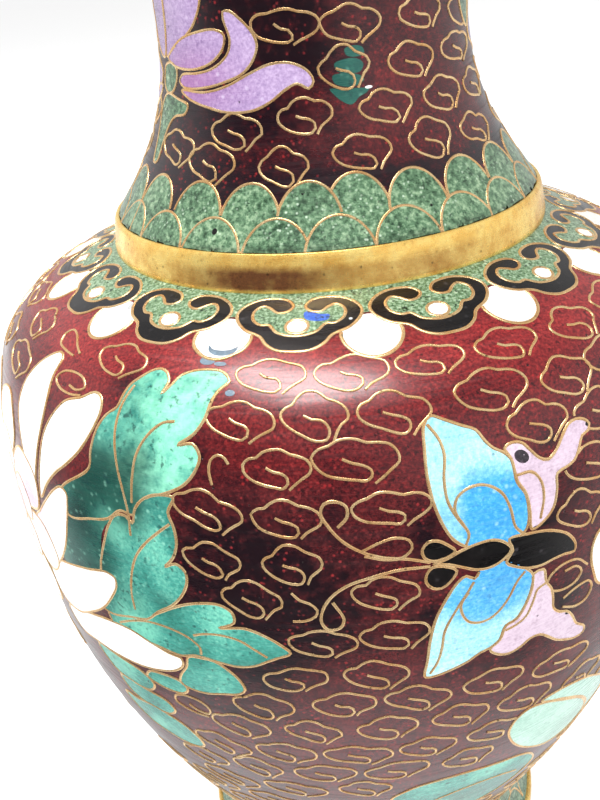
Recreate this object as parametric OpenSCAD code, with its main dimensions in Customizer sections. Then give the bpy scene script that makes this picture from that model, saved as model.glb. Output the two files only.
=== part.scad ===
// Cloisonne vase: a copper vessel in five shells, enamelled inside and out, with the outside
// enamel laid in cells between thin standing wires, and gilt rings at lip, neck joint and foot.
// Origin at the centre of the foot's underside, +Z up, the butterfly towards -Y. Millimetres.

/* [Vessel] */
// Height from the table to the top of the lip
height = 203; // [198:1:208]
// Radius of the belly at the girth, over the enamel
belly_r = 49.6; // [48.6:0.1:50.6]
// Radius of the neck at its waist, over the enamel
waist_r = 19.5; // [18.5:0.1:20.5]
// Radius of the gilt collar at the neck joint
collar_r = 29.6; // [29.5:0.1:29.8]
// Radius of the foot rim
foot_r = 30.5; // [30:0.1:31.5]

/* [Layers] */
// Thickness of the copper
copper_t = 1.2; // [1:0.1:1.4]
// Thickness of the outside enamel
enamel_t = 0.8; // [0.6:0.1:1]
// Thickness of the inside enamel
lining_t = 0.5; // [0.3:0.1:0.7]
// Width of the cell wires, seen from above
wire_w = 0.4; // [0.3:0.05:0.5]

/* [Ornament] */
// Number of cloud-collar lappets on the shoulder
lappet_count = 14; // [14:1:14]
// Number of scales in each of the two rows at the foot of the neck
scale_count = 22; // [21:1:23]

/* [Hidden] */
$fn = 120;
eps = 0.01;

// Heights along the axis
collar_top = 117.5;
neck_datum = 118;
collar_low = 113.9;
girth_z = 84.5;
waist_z = 142.6;
foot_top = 14;
foot_top_r = 27.8;
foot_rim_h = 3.2;
lip_r = 1.7;
lip_at = [29.15, height - lip_r];
neck_base_r = 28.4;
shoulder_r = collar_r - 0.1;

// The outer surface, as three chains of cubic arcs that all run downwards
neck_arcs = [
    [[30.2, height - 2.2], [23.5, height - 13], [waist_r, 166], [waist_r, waist_z]],
    [[waist_r, waist_z], [waist_r, 131], [21.8, 126.5], [neck_base_r, collar_top]],
];
shoulder_arc = [[shoulder_r, collar_low], [45.9, 108], [belly_r, 105.3], [belly_r, girth_z]];
belly_arc = [[belly_r, girth_z], [belly_r, 53.1], [38, 34.8], [foot_top_r, foot_top]];
foot_arc = [[foot_top_r, foot_top], [26.8, 10.2], [27.6, 5.8], [foot_r - 0.6, foot_rim_h - 0.4]];

function arc_at(p, t) = pow(1 - t, 3) * p[0] + 3 * pow(1 - t, 2) * t * p[1]
    + 3 * (1 - t) * t * t * p[2] + t * t * t * p[3];
function arc_slope(p, t) = let (d = pow(1 - t, 2) * (p[1] - p[0])
    + 2 * (1 - t) * t * (p[2] - p[1]) + t * t * (p[3] - p[2])) d / norm(d);
// Samples along one arc: point on the surface and outward normal
function samples(p, n) = [for (i = [0:n]) let (d = arc_slope(p, i / n))
    [arc_at(p, i / n), [-d.y, d.x]]];
function joined(a, b) = concat(a, [for (i = [1:len(b) - 1]) b[i]]);
function shifted(c, depth) = [for (q = c) q[0] - depth * q[1]];
function reversed(v) = [for (i = [len(v) - 1:-1:0]) v[i]];
function band(c, from, to) = concat(shifted(c, from), reversed(shifted(c, to)));
function part(v, a, b) = [for (i = [a:b]) v[i]];

neck_line = joined(samples(neck_arcs[0], 9), samples(neck_arcs[1], 6));
shoulder_line = samples(shoulder_arc, 8);
belly_line = samples(belly_arc, 12);
body_line = joined(shoulder_line, belly_line);
foot_line = samples(foot_arc, 6);
girth_i = len(shoulder_line) - 1;
neck_end = len(neck_line) - 1;

// Places on the body are [degrees round, mm of surface below the collar]; on the neck they are
// [degrees round, mm above the datum]. A table gives radius, height and normal for each.
body_steps = [for (i = 0, s = 0; i < len(body_line);
    s = s + (i < len(body_line) - 1 ? norm(body_line[i + 1][0] - body_line[i][0]) : 0), i = i + 1) s];
body_table = [for (i = [0:len(body_line) - 1]) [body_steps[i], body_line[i]]];
neck_table = [for (q = reversed(neck_line)) [q[0].y - neck_datum, q]];
function column(t, j, k) = [for (q = t) [q[0], q[1][j][k]]];
body_map = [for (j = [0, 1], k = [0, 1]) column(body_table, j, k)];
neck_map = [for (j = [0, 1], k = [0, 1]) column(neck_table, j, k)];
// A map read at one place: [radius, height, normal out, normal up]
function read_map(m, s) = [for (c = m) lookup(s, c)];
// Place p seen in the flat frame that touches the surface at place o
function flat(m, o, p) = let (a = read_map(m, o.y), b = read_map(m, p.y), w = p.x - o.x)
    [b[0] * sin(w), (a[0] - b[0] * cos(w)) * a[3] + (b[1] - a[1]) * a[2]];

// The same line pushed sideways by d
function beside(p, d) = let (m = len(p) - 1) [for (i = [0:m])
    let (t = p[min(i + 1, m)] - p[max(i - 1, 0)], u = t / norm(t)) p[i] + d * [-u.y, u.x]];

// The same for a closed loop, kept on its outer side
function beside_loop(p, d) = let (c = len(p)) [for (i = [0:c - 1])
    let (t = p[(i + 1) % c] - p[(i + c - 1) % c], u = t / norm(t)) p[i] + d * [-u.y, u.x]];

function drawn(m, o, places) = [for (q = places) flat(m, o, q)];
module outline(m, o, places) polygon(drawn(m, o, places));
module wire(m, o, places) {
    line = drawn(m, o, places);
    polygon(concat(beside(line, wire_w / 2), reversed(beside(line, -wire_w / 2))));
}
// Outline with half a wire added all round, whichever way its places run
module footprint(m, o, places) {
    loop = drawn(m, o, places);
    polygon(beside_loop(loop, wire_w / 2));
    polygon(beside_loop(loop, -wire_w / 2));
}
// Wire that runs round a closed outline
module hoop(m, o, places) {
    loop = drawn(m, o, places);
    difference() {
        footprint(m, o, places);
        intersection() {
            polygon(beside_loop(loop, wire_w / 2));
            polygon(beside_loop(loop, -wire_w / 2));
        }
    }
}
module wires(m, o, lines) for (l = lines) wire(m, o, l);
// Stands a flat figure on the surface at place o, as a prism through the enamel
module standing(m, o, reach = 4) {
    a = read_map(m, o.y);
    rotate([0, 0, o.x]) translate([0, -a[0], a[1]]) rotate([atan2(a[2], a[3]), 0, 0])
        translate([0, 0, -2 * reach]) linear_extrude(3 * reach) children();
}
module turned(points) rotate_extrude() polygon(points);
module enamel(c) turned(band(c, 0, enamel_t));
module copper(c) turned(band(c, enamel_t, enamel_t + copper_t));
module lining(c) turned(band(c, enamel_t + copper_t, enamel_t + copper_t + lining_t));

// ---- Ornament outlines -------------------------------------------------------------------

// Right half of a lappet, from its low point round the outside to the hook, and back inside
lappet_outer = [[0, 9.3], [2.8, 9.1], [4.9, 8.2], [6.2, 7.1], [9.4, 6.1], [11.6, 4.6], [12.1, 3.4],
    [11.1, 2.2], [8.6, 1.2], [5.4, 0.9], [2.4, 1.3]];
lappet_inner = [[1.2, 2.3], [2.2, 3.1], [4.2, 3.3], [5.7, 2.6], [7.4, 2.2], [8.9, 3.1], [8.6, 4.4],
    [6.8, 5.3], [5.2, 5.3], [3.6, 6.4], [1.8, 6.9]];
lappet_low = [[0, 7.05]];
function mirrored(p) = [for (q = reversed(p)) [-q.x, q.y]];
lappet_loop = concat(lappet_outer, lappet_inner, lappet_low, mirrored(lappet_inner),
    mirrored(part(lappet_outer, 1, len(lappet_outer) - 1)));
lappet_edge = concat(lappet_outer, mirrored(part(lappet_outer, 1, len(lappet_outer) - 1)));
hook_tip = lappet_outer[len(lappet_outer) - 1];
field_loop = concat([hook_tip], lappet_inner, lappet_low, mirrored(lappet_inner), mirrored([hook_tip]));
oval_loop = [for (a = [0:45:315]) [2.1 * cos(a), 5.55 + 1.15 * sin(a)]];
pendant_line = [[4.9, 6.4], [5.2, 7.4], [4.6, 8.8], [3.2, 10], [1.4, 10.7], [0, 10.85]];
pendant_u = concat(pendant_line, mirrored(part(pendant_line, 0, len(pendant_line) - 2)));
lappet_pitch = 360 / lappet_count;
lappet_first = -7;
lappet_mid = [0, 5];
pendant_mid = [0, 8];

// Butterfly, spread beside its long body
wing_top = [[13.6, 33.2], [12, 32], [10.8, 30], [9.9, 27.5], [9.4, 24.5], [9.5, 21.5], [9.9, 19.2],
    [10.9, 18.4], [12.5, 19], [14.5, 19.9], [16.3, 20.7], [17.2, 22], [18.2, 23], [19.3, 23.6],
    [20.2, 24.5], [20.7, 27.2], [21.7, 28.7], [22.1, 30.7], [22, 32.5], [21.3, 33.5], [17, 34.2]];
wing_low = [[14.6, 37.6], [13.5, 37], [12.4, 37.6], [10.9, 39.5], [9.5, 42], [8.7, 45], [8.3, 48],
    [8, 50.7], [9.5, 50.7], [12, 50.1], [13.8, 49.5], [15.5, 48.6], [16.8, 48.3], [18.2, 47.4],
    [19, 45.5], [20.5, 45], [21.8, 43.3], [22.7, 41], [22.8, 39.5], [22, 38.5], [19, 36.5], [16, 36]];
wing_veins = [
    [[10.3, 19.2], [11.4, 20.8], [11.8, 22.5], [11.4, 25], [11.6, 27.5], [12.6, 29.5], [14, 31.8], [13.6, 33]],
    [[13.4, 30.6], [12.4, 28.7], [12.8, 27.3], [14, 26.6], [15.5, 26.4], [17, 26.8], [18.6, 28], [19.6, 30],
        [20.2, 32.4], [21.1, 33.4]],
    [[8.6, 50.2], [9.6, 48.6], [10.2, 46.5], [10.6, 44], [12, 41.5], [13.6, 39.3], [14.5, 38]],
    [[13.8, 39.3], [12.8, 40.6], [12.9, 42], [13.8, 43.4], [15.2, 43.9], [16.8, 43.7], [18.2, 42.8],
        [19.4, 41.4], [20.5, 39.6], [21.6, 38.6]],
];
thorax = [[9.4, 34.6], [11, 34.3], [13, 33.6], [15, 33.2], [17, 33.2], [18.5, 33.8], [19.6, 35],
    [18.8, 35.9], [17, 36.6], [15, 36.5], [13, 35.7], [11.3, 35]];
eye_top = [[9.3, 34.2], [8.3, 33.6], [8.1, 32.6], [8.9, 31.8], [10, 31.8], [11.2, 32.5], [12.2, 33.5], [11, 34.1]];
eye_low = [[9.3, 35], [8.5, 35.8], [8.4, 36.8], [9.2, 37.7], [10.3, 37.9], [11.4, 37.3], [12.3, 36], [11.2, 35.3]];
abdomen = [[19.3, 33.7], [22, 33.8], [24.5, 34.2], [26.5, 34.9], [28.3, 36], [29.5, 37.7], [29.3, 38.6],
    [27.8, 38.4], [26, 38.4], [24, 38.6], [22, 38.3], [20.3, 37.6], [18.9, 36.6], [19.8, 35.3]];
tail_top = [[19.6, 23.3], [20.7, 22.9], [22, 23.2], [23, 24.2], [24.2, 25.4], [25.5, 25.9], [26.8, 25.2],
    [28, 24], [29.3, 23], [30.6, 22.8], [31.9, 23.2], [32.6, 23.9], [32.3, 24.5], [31.1, 24.8], [30.4, 25.9],
    [29.4, 27.1], [28, 27.5], [26.6, 27.8], [26.4, 29.6], [25.8, 31.6], [24.6, 32.7], [22.6, 33.4],
    [22.3, 31], [21.8, 28.7], [20.8, 27.2], [20.3, 24.6]];
tail_low = [[22.9, 39.4], [24.4, 39.3], [24.9, 41.2], [25.8, 42.5], [26.2, 44], [26.4, 45.6], [27.5, 46.7],
    [29, 47.3], [30, 48.4], [31.1, 50.2], [32.9, 51.6], [32.8, 52.5], [31.3, 52.7], [29.4, 52.1], [27.5, 51.2],
    [26, 50], [24.5, 49], [23, 49], [21.5, 49.8], [19.8, 50.2], [18.2, 49.8], [16.9, 48.6], [18.3, 47.5],
    [19.1, 45.6], [20.6, 45.1], [21.9, 43.4], [22.8, 41.1]];
tail_veins = [
    [[20.8, 26.5], [22.8, 26.6], [24, 27.8], [24.4, 29.8], [23.8, 32.4]],
    [[19, 46.3], [20.5, 46], [22, 45.2], [23, 43.3], [23.6, 41.8], [24.8, 41.4]],
];
feelers = [
    [[9, 34.3], [6.5, 33.5], [3, 32.8], [0.5, 31.8], [-1.5, 30.4], [-3, 28.6], [-3.7, 27.2], [-3.2, 26.2],
        [-1.8, 26], [-0.6, 26.6], [-0.6, 27.8], [-1.8, 28.9]],
    [[9, 34.8], [5, 34.7], [2, 35.2], [-1, 36], [-3.2, 37.4], [-4.5, 39.2], [-4.8, 41], [-4, 42], [-2.6, 41.8],
        [-2, 40.6], [-2.4, 39.4]],
];
butterfly_o = [18, 35];

// Three cut leaves that fan from one stem, and the lobes under them
leaf_loops = [
    [[-36.2, 25.3], [-36, 23.3], [-35.2, 20.5], [-34, 18.8], [-32.6, 17.8], [-32.3, 16.3], [-31.8, 15],
        [-30.6, 13.9], [-29.4, 13], [-28, 12.5], [-26.6, 12.8], [-25.6, 13.9], [-26, 15.4], [-25, 14.3],
        [-24, 13], [-22, 12.2], [-19.5, 11.9], [-17.5, 12.1], [-16.1, 13.2], [-17.3, 14.3], [-18, 15.5],
        [-18.5, 17.5], [-19.8, 19.3], [-21.9, 20.6], [-19.8, 20.3], [-18.7, 21.5], [-19.2, 23], [-20.8, 24.7],
        [-23.5, 26], [-26.5, 27], [-28.8, 29.5], [-31, 29.4], [-33.5, 31]],
    [[-37.5, 40], [-36.5, 37.5], [-35, 34.5], [-33.5, 31.8], [-32, 30.2], [-30.3, 29.9], [-29.2, 30.6],
        [-28.5, 28.7], [-27, 27.2], [-25, 26.4], [-22.5, 26.4], [-23.4, 28.2], [-22.8, 30], [-22.7, 32],
        [-23.6, 34], [-25, 35.4], [-23.3, 34.7], [-22.1, 35.5], [-22.1, 37], [-23.2, 39], [-25, 40.8],
        [-27.4, 42.3], [-30, 44.3], [-33, 45]],
    [[-31, 44.4], [-27.2, 42.4], [-25.2, 41.3], [-23, 40.3], [-20.5, 39.6], [-18, 39.4], [-16.4, 40.2],
        [-16.3, 41.7], [-18.5, 42.8], [-15, 42.4], [-12.5, 43.2], [-10.5, 44.4], [-9.3, 45.6], [-11, 46.4],
        [-12.7, 47.2], [-14.5, 48.1], [-17, 48.6], [-19.5, 48.4], [-23, 48.1], [-25.5, 48.8], [-30, 47.4],
        [-34, 46.8]],
    [[-24.4, 48.7], [-22.5, 48.4], [-20.3, 48.5], [-18.5, 49.6], [-17.2, 51], [-16.7, 52.6], [-17.6, 53.5],
        [-20.5, 54.2], [-23, 54.8], [-25.5, 54.8], [-27.2, 54.2], [-26.7, 52.6], [-25.2, 50.6]],
];
leaf_veins = [
    [[-31, 15], [-31.8, 17], [-32, 20], [-31.3, 23.5], [-30.2, 27], [-29.7, 29.4]],
    [[-22.8, 18.2], [-24.5, 18.5], [-26.5, 20], [-28, 22.3], [-28.6, 25], [-28.9, 28]],
    [[-23.3, 29.6], [-25, 30.8], [-27.5, 32.8], [-29.5, 35], [-31, 38], [-31.8, 41], [-31.9, 43.4]],
    [[-22.7, 44.8], [-21, 44.2], [-18.5, 43.9], [-16, 44.3], [-14, 45.5], [-12.5, 46.5]],
    [[-31.3, 45], [-29, 44.6], [-26, 44.7], [-23.5, 45.4], [-22.1, 46.6], [-22.2, 47.7]],
];
leaf_o = [-26, 34];

// Long pale petals of the flower beside the leaves
petal_loops = [
    [[-51.8, 34], [-54.5, 27], [-55.9, 22.5], [-55, 18.5], [-52.5, 15.5], [-50, 14.2], [-48.6, 14.7],
        [-48.3, 17], [-47.5, 20], [-47.7, 23], [-49, 27], [-50.6, 31]],
    [[-47.9, 27], [-46.9, 24], [-45.2, 21.2], [-43, 19], [-40, 18], [-37.5, 16.9], [-36, 17.3], [-35.4, 18.6],
        [-35.9, 20.5], [-38, 23.5], [-41, 26], [-44, 28], [-47, 30.5], [-49.6, 33.2]],
    [[-51.5, 36.4], [-48, 33], [-45, 30.6], [-43, 29.6], [-41.8, 30], [-42, 31.8], [-43, 34.5], [-45, 38.5],
        [-48, 42], [-51.5, 44.6]],
    [[-49, 42.6], [-44, 41.2], [-40, 40.2], [-36, 39.2], [-34.5, 39.5], [-34.6, 40.8], [-36.2, 43], [-39, 45.8],
        [-43, 48.3], [-48, 50.6]],
    [[-43.5, 48.9], [-38, 47.7], [-34, 47.5], [-30.5, 48.4], [-27.5, 49.2], [-25.8, 49.4], [-25.8, 50.6],
        [-27.4, 52], [-30, 53], [-34, 53.9], [-40, 54.4], [-45, 54.6]],
];
petal_o = [-46, 34];

// Petals of the flower on the neck
neck_petal_loops = [
    [[-50, 17.8], [-44, 19.4], [-38, 20.4], [-33, 20.4], [-30.6, 21.5], [-31, 23], [-28, 23.6], [-24, 22],
        [-20.4, 20.4], [-21, 18.6], [-24, 17.4], [-30, 16.3], [-40, 16], [-50, 15.6], [-55, 16.2]],
    [[-53, 15.2], [-47, 15.6], [-36, 15.7], [-28, 16.5], [-22, 18], [-13, 18.3], [-6, 17.6], [-2.2, 16.3],
        [-6, 15.8], [-14, 15.2], [-20, 14.2], [-27, 13.6], [-36, 13.9], [-45, 14.5]],
];
neck_o = [-28, 18];

// ---- Metal -------------------------------------------------------------------------------

module mouth_rim() color("goldenrod") lip_ring();
module lip_ring() rotate_extrude() translate(lip_at) circle(lip_r, $fn = 48);

// The neck tube ends in a straight skirt that plugs into the shoulder
skirt_end = 112.2;
function skirted(c, from, to) = let (a = shifted(c, from), b = shifted(c, to), m = len(c) - 1)
    concat(a, [[a[m].x, skirt_end], [b[m].x, skirt_end]], reversed(b));
copper_in = enamel_t + copper_t;
module neck_shell() color("peru") difference() {
    turned(skirted(neck_line, enamel_t, copper_in));
    lip_ring();
}
module neck_collar() color("goldenrod") {
    inner = neck_line[neck_end][0] - enamel_t * neck_line[neck_end][1];
    seat = body_line[0][0] - enamel_t * body_line[0][1];
    turned([inner, [inner.x, seat.y], seat, body_line[0][0], [collar_r, collar_low], [collar_r, collar_low + 0.5],
        [collar_r - 0.4, collar_top - 0.4], [collar_r - 0.8, collar_top], neck_line[neck_end][0]]);
}
// The shoulder has a flat flange under the collar, and half its wall is cut back at the girth
// for the lap that the belly pushes up inside it
lap_h = 4;
lap_r = belly_r - enamel_t - copper_t / 2;
module lap_ring(grow = 0) rotate_extrude() translate([lap_r - copper_t, girth_z - grow])
    square([copper_t, lap_h + grow]);
module shoulder_shell() color("peru") difference() {
    outer = shifted(shoulder_line, enamel_t);
    inner = shifted(shoulder_line, copper_in);
    hole_r = neck_line[neck_end][0].x - enamel_t * neck_line[neck_end][1].x;
    turned(concat([[hole_r, inner[0].y], [hole_r, outer[0].y]], outer, reversed(inner)));
    lap_ring(1);
}
module belly_shell() color("peru") difference() {
    union() {
        copper(belly_line);
        intersection() {
            lap_ring(eps);
            copper(concat(part(shoulder_line, girth_i - 2, girth_i), [belly_line[1]]));
        }
    }
    base_disc();
}
base_z = foot_top - 1.1;
foot_bore_r = foot_top_r - enamel_t - copper_t;
module base_disc() translate([0, 0, base_z]) cylinder(h = copper_t, r = foot_bore_r + 0.4);
module base_plate() color("peru") base_disc();
module above(z, h = 30) translate([0, 0, z]) cylinder(h = h, r = foot_r + 5);
module foot_shell() color("peru") difference() {
    intersection() {
        copper(foot_line);
        above(foot_rim_h);
    }
    base_disc();
}
foot_rim_w = 4.5;
module foot_rim() color("goldenrod") turned([[foot_r - foot_rim_w, 0], [foot_r - 0.6, 0], [foot_r, 0.6],
    [foot_r, foot_rim_h - 0.8], [foot_r - 0.5, foot_rim_h], [foot_r - foot_rim_w, foot_rim_h]]);

// ---- Enamel inside -----------------------------------------------------------------------

module neck_lining() color("mediumturquoise") difference() {
    turned(skirted(neck_line, copper_in, copper_in + lining_t));
    lip_ring();
}
module shoulder_lining() color("mediumturquoise") difference() {
    inner = shifted(shoulder_line, copper_in);
    deep = shifted(shoulder_line, copper_in + lining_t);
    turned(concat([[inner[0].x - 2, inner[0].y], [inner[0].x - 2, deep[0].y]], deep, reversed(inner)));
    lap_ring(1);
}
module belly_lining() color("mediumturquoise") difference() {
    lining(belly_line);
    translate([0, 0, -1]) above(0, base_z + copper_t + lining_t + 1);
}
module base_enamel() color("mediumturquoise") {
    translate([0, 0, base_z + copper_t]) cylinder(h = lining_t, r = foot_bore_r - 0.1);
    translate([0, 0, base_z - lining_t]) cylinder(h = lining_t, r = foot_bore_r - 0.8);
}

// ---- Neck enamel -------------------------------------------------------------------------

scale_pitch = 360 / scale_count;
scale_r = 3.7;
scale_rows = [[-0.22, 2.9], [0.28, -1.1]];
neck_foot = part(neck_line, neck_end - 2, neck_end);
module scale_disc(row, i, r) rotate([90, 0, (i + scale_rows[row].x) * scale_pitch])
    translate([0, neck_datum + scale_rows[row].y, 15]) cylinder(h = 15, r = r, $fn = 48);
// A scale of the upper row is what its round outline leaves free above the lower row
module scale_plug(row, i) difference() {
    scale_disc(row, i, scale_r - wire_w / 2);
    if (row == 0) for (k = [i - 1, i]) scale_disc(1, k, scale_r);
}
module scale_hoop(row, i) difference() {
    scale_disc(row, i, scale_r);
    scale_disc(row, i, scale_r - wire_w / 2);
    if (row == 0) for (k = [i - 1, i]) scale_disc(1, k, scale_r);
}
module neck_scales() color("darkseagreen") intersection() {
    enamel(neck_foot);
    union() for (i = [0:scale_count - 1], row = [0, 1]) scale_plug(row, i);
}
module scale_wires() color("gold") intersection() {
    enamel(neck_foot);
    union() for (i = [0:scale_count - 1], row = [0, 1]) scale_hoop(row, i);
}
module neck_petal_wires() for (l = neck_petal_loops) hoop(neck_map, neck_o, l);
module neck_petals() color("plum") intersection() {
    enamel(part(neck_line, 7, neck_end));
    standing(neck_map, neck_o, 6) difference() {
        for (l = neck_petal_loops) outline(neck_map, neck_o, l);
        neck_petal_wires();
    }
}
module neck_wires() color("gold") intersection() {
    enamel(part(neck_line, 7, neck_end));
    standing(neck_map, neck_o, 6) neck_petal_wires();
}
module neck_ground() color("#5a1512") difference() {
    enamel(neck_line);
    lip_ring();
    translate([0, 0, collar_top - 1]) cylinder(h = 1 + scale_rows[0].y, r = collar_r);
    for (i = [0:scale_count - 1]) scale_disc(0, i, scale_r);
    standing(neck_map, neck_o, 6) for (l = neck_petal_loops) footprint(neck_map, neck_o, l);
}

// ---- Shoulder enamel ---------------------------------------------------------------------

shoulder_top = part(body_line, 0, 3);
module at_lappets(o) for (i = [0:lappet_count - 1]) rotate([0, 0, lappet_first + i * lappet_pitch])
    standing(body_map, o) children();
module lappet_wire_flat() hoop(body_map, lappet_mid, lappet_loop);
module oval_wire_flat() hoop(body_map, lappet_mid, oval_loop);
module lappet_whole_flat() {
    footprint(body_map, lappet_mid, lappet_edge);
    outline(body_map, lappet_mid, field_loop);
}
module lappet_bands() color("#1c1716") intersection() {
    enamel(shoulder_top);
    at_lappets(lappet_mid) difference() {
        outline(body_map, lappet_mid, lappet_loop);
        lappet_wire_flat();
    }
}
module lappet_fields() color("darkseagreen") intersection() {
    enamel(shoulder_top);
    at_lappets(lappet_mid) difference() {
        outline(body_map, lappet_mid, field_loop);
        lappet_wire_flat();
        oval_wire_flat();
        outline(body_map, lappet_mid, oval_loop);
    }
}
module lappet_ovals() color("white") intersection() {
    enamel(shoulder_top);
    at_lappets(lappet_mid) difference() {
        outline(body_map, lappet_mid, oval_loop);
        oval_wire_flat();
    }
}
module lappet_wires() color("gold") intersection() {
    enamel(shoulder_top);
    at_lappets(lappet_mid) {
        lappet_wire_flat();
        oval_wire_flat();
    }
}
module pendant_flat() outline(body_map, pendant_mid, concat([[0, 4.4]], pendant_u));
module pendant_wire_flat() wire(body_map, pendant_mid, pendant_u);
module at_pendants() for (i = [0:lappet_count - 1]) rotate([0, 0, lappet_first + (i + 0.5) * lappet_pitch])
    standing(body_map, pendant_mid) children();
module pendants() color("white") difference() {
    intersection() {
        enamel(shoulder_top);
        at_pendants() difference() {
            pendant_flat();
            pendant_wire_flat();
        }
    }
    at_lappets(lappet_mid) lappet_whole_flat();
}
module pendant_wires() color("gold") difference() {
    intersection() {
        enamel(shoulder_top);
        at_pendants() pendant_wire_flat();
    }
    at_lappets(lappet_mid) lappet_whole_flat();
}
ring_end = 2.2;
module ring_slab() translate([0, 0, read_map(body_map, ring_end)[1]]) cylinder(h = 10, r = belly_r);
module shoulder_ring() color("darkseagreen") difference() {
    intersection() {
        enamel(shoulder_top);
        ring_slab();
    }
    at_lappets(lappet_mid) lappet_whole_flat();
}

// ---- Body enamel -------------------------------------------------------------------------

motif_line = part(body_line, 1, girth_i + 5);
module on_face(o) standing(body_map, o, 6) children();
module hoops(o, loops) for (l = loops) hoop(body_map, o, l);
module butterfly_wires_flat() {
    hoops(butterfly_o, [wing_top, wing_low, thorax, eye_top, eye_low, abdomen, tail_top, tail_low]);
    wires(body_map, butterfly_o, concat(wing_veins, tail_veins, feelers));
}
module butterfly_black_flat() for (l = [thorax, eye_top, eye_low, abdomen]) outline(body_map, butterfly_o, l);
module butterfly_cells(loops) intersection() {
    enamel(motif_line);
    on_face(butterfly_o) difference() {
        for (l = loops) outline(body_map, butterfly_o, l);
        butterfly_wires_flat();
        if (loops[0] != thorax) butterfly_black_flat();
    }
}
module butterfly_wings() color("deepskyblue") butterfly_cells([wing_top, wing_low]);
module butterfly_body() color("#141414") butterfly_cells([thorax, eye_top, eye_low, abdomen]);
module butterfly_tails() color("thistle") butterfly_cells([tail_top, tail_low]);
module butterfly_wires() color("gold") intersection() {
    enamel(motif_line);
    on_face(butterfly_o) butterfly_wires_flat();
}
module leaf_wires_flat() {
    hoops(leaf_o, leaf_loops);
    wires(body_map, leaf_o, leaf_veins);
}
module petal_wires_flat() for (l = petal_loops) hoop(body_map, petal_o, l);
module petal_whole_flat() for (l = petal_loops) footprint(body_map, petal_o, l);
module leaves() color("mediumseagreen") difference() {
    intersection() {
        enamel(motif_line);
        on_face(leaf_o) difference() {
            for (l = leaf_loops) outline(body_map, leaf_o, l);
            leaf_wires_flat();
        }
    }
    on_face(petal_o) petal_whole_flat();
}
module petals() color("ivory") intersection() {
    enamel(motif_line);
    on_face(petal_o) difference() {
        for (l = petal_loops) outline(body_map, petal_o, l);
        petal_wires_flat();
    }
}
module plant_wires() color("gold") intersection() {
    enamel(motif_line);
    union() {
        on_face(petal_o) petal_wires_flat();
        difference() {
            on_face(leaf_o) leaf_wires_flat();
            on_face(petal_o) petal_whole_flat();
        }
    }
}
module body_ground() color("#5a1512") difference() {
    enamel(body_line);
    ring_slab();
    at_lappets(lappet_mid) footprint(body_map, lappet_mid, lappet_edge);
    at_pendants() footprint(body_map, pendant_mid, concat([[0, 4.4]], pendant_u));
    on_face(butterfly_o) union() {
        for (l = [wing_top, wing_low, tail_top, tail_low, thorax, eye_top, eye_low, abdomen])
            footprint(body_map, butterfly_o, l);
        wires(body_map, butterfly_o, feelers);
    }
    on_face(leaf_o) for (l = leaf_loops) footprint(body_map, leaf_o, l);
    on_face(petal_o) for (l = petal_loops) footprint(body_map, petal_o, l);
}
module foot_enamel() color("darkseagreen") intersection() {
    enamel(foot_line);
    above(foot_rim_h);
}

mouth_rim();
neck_shell();
neck_lining();
neck_ground();
neck_scales();
scale_wires();
neck_petals();
neck_wires();
neck_collar();
shoulder_shell();
shoulder_lining();
shoulder_ring();
lappet_bands();
lappet_fields();
lappet_ovals();
lappet_wires();
pendants();
pendant_wires();
belly_shell();
belly_lining();
body_ground();
butterfly_wings();
butterfly_body();
butterfly_tails();
butterfly_wires();
leaves();
petals();
plant_wires();
foot_shell();
foot_enamel();
foot_rim();
base_plate();
base_enamel();
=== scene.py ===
"""Cloisonne vase: enamel cells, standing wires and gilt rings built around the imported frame.

Places on the body are (degrees round, mm of surface below the collar), on the neck (degrees round,
mm above the collar). Zero degrees faces -Y. Lengths are in mm until the meshes are written.
"""
import math
import random

import bpy
import numpy as np
from mathutils import Matrix, Vector
from mathutils.geometry import delaunay_2d_cdt


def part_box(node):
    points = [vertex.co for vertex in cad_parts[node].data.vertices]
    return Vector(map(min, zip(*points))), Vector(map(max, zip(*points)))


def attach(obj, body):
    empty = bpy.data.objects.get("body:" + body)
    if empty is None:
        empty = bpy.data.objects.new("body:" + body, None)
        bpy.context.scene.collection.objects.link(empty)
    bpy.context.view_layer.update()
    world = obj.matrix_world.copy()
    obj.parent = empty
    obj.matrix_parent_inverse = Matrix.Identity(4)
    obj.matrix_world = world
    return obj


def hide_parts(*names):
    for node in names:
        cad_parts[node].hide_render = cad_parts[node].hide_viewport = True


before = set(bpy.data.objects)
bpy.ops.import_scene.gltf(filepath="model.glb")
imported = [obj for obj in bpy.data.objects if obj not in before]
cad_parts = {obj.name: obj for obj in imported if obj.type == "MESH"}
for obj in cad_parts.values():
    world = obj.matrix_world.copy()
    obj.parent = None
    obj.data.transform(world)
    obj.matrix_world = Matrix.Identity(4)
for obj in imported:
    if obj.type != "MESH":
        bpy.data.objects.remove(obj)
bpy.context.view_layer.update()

MM = 0.001
rng = random.Random(5)

# ---- Sizes ----
# A name that ends in _K is the length in mm of one degree round, where that ornament sits

low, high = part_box("neck_collar")
COLLAR_R = high.x / MM
COLLAR_LOW = low.z / MM
COLLAR_TOP = high.z / MM
NECK_DATUM = 118.0
ENAMEL = 0.8
BELLY_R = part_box("belly_shell")[1].x / MM + ENAMEL
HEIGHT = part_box("mouth_rim")[1].z / MM
NECK_TOP = HEIGHT - 2.2
FOOT_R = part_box("foot_rim")[1].x / MM
WAIST_R, WAIST_Z, GIRTH_Z, FOOT_TOP = 19.5, 142.6, 84.5, 14.0
NECK_BASE_R, SHOULDER_R, FOOT_TOP_R = 28.4, 29.5, 27.8
WIRE = 0.28
BUTTERFLY_WIRE, PLANT_WIRE, SCALE_WIRE, LAPPET_WIRE, PENDANT_WIRE = 0.33, 0.34, 0.32, 0.36, 0.38
BODY_K = math.radians(46)
SHOULDER_K = math.radians(38)
NECK_K = math.radians(22)
LOW_K = math.radians(40)
SCALE_K = NECK_K * 1.2
BACK_TURN = 165.0
ROOM = 0.72
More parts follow.
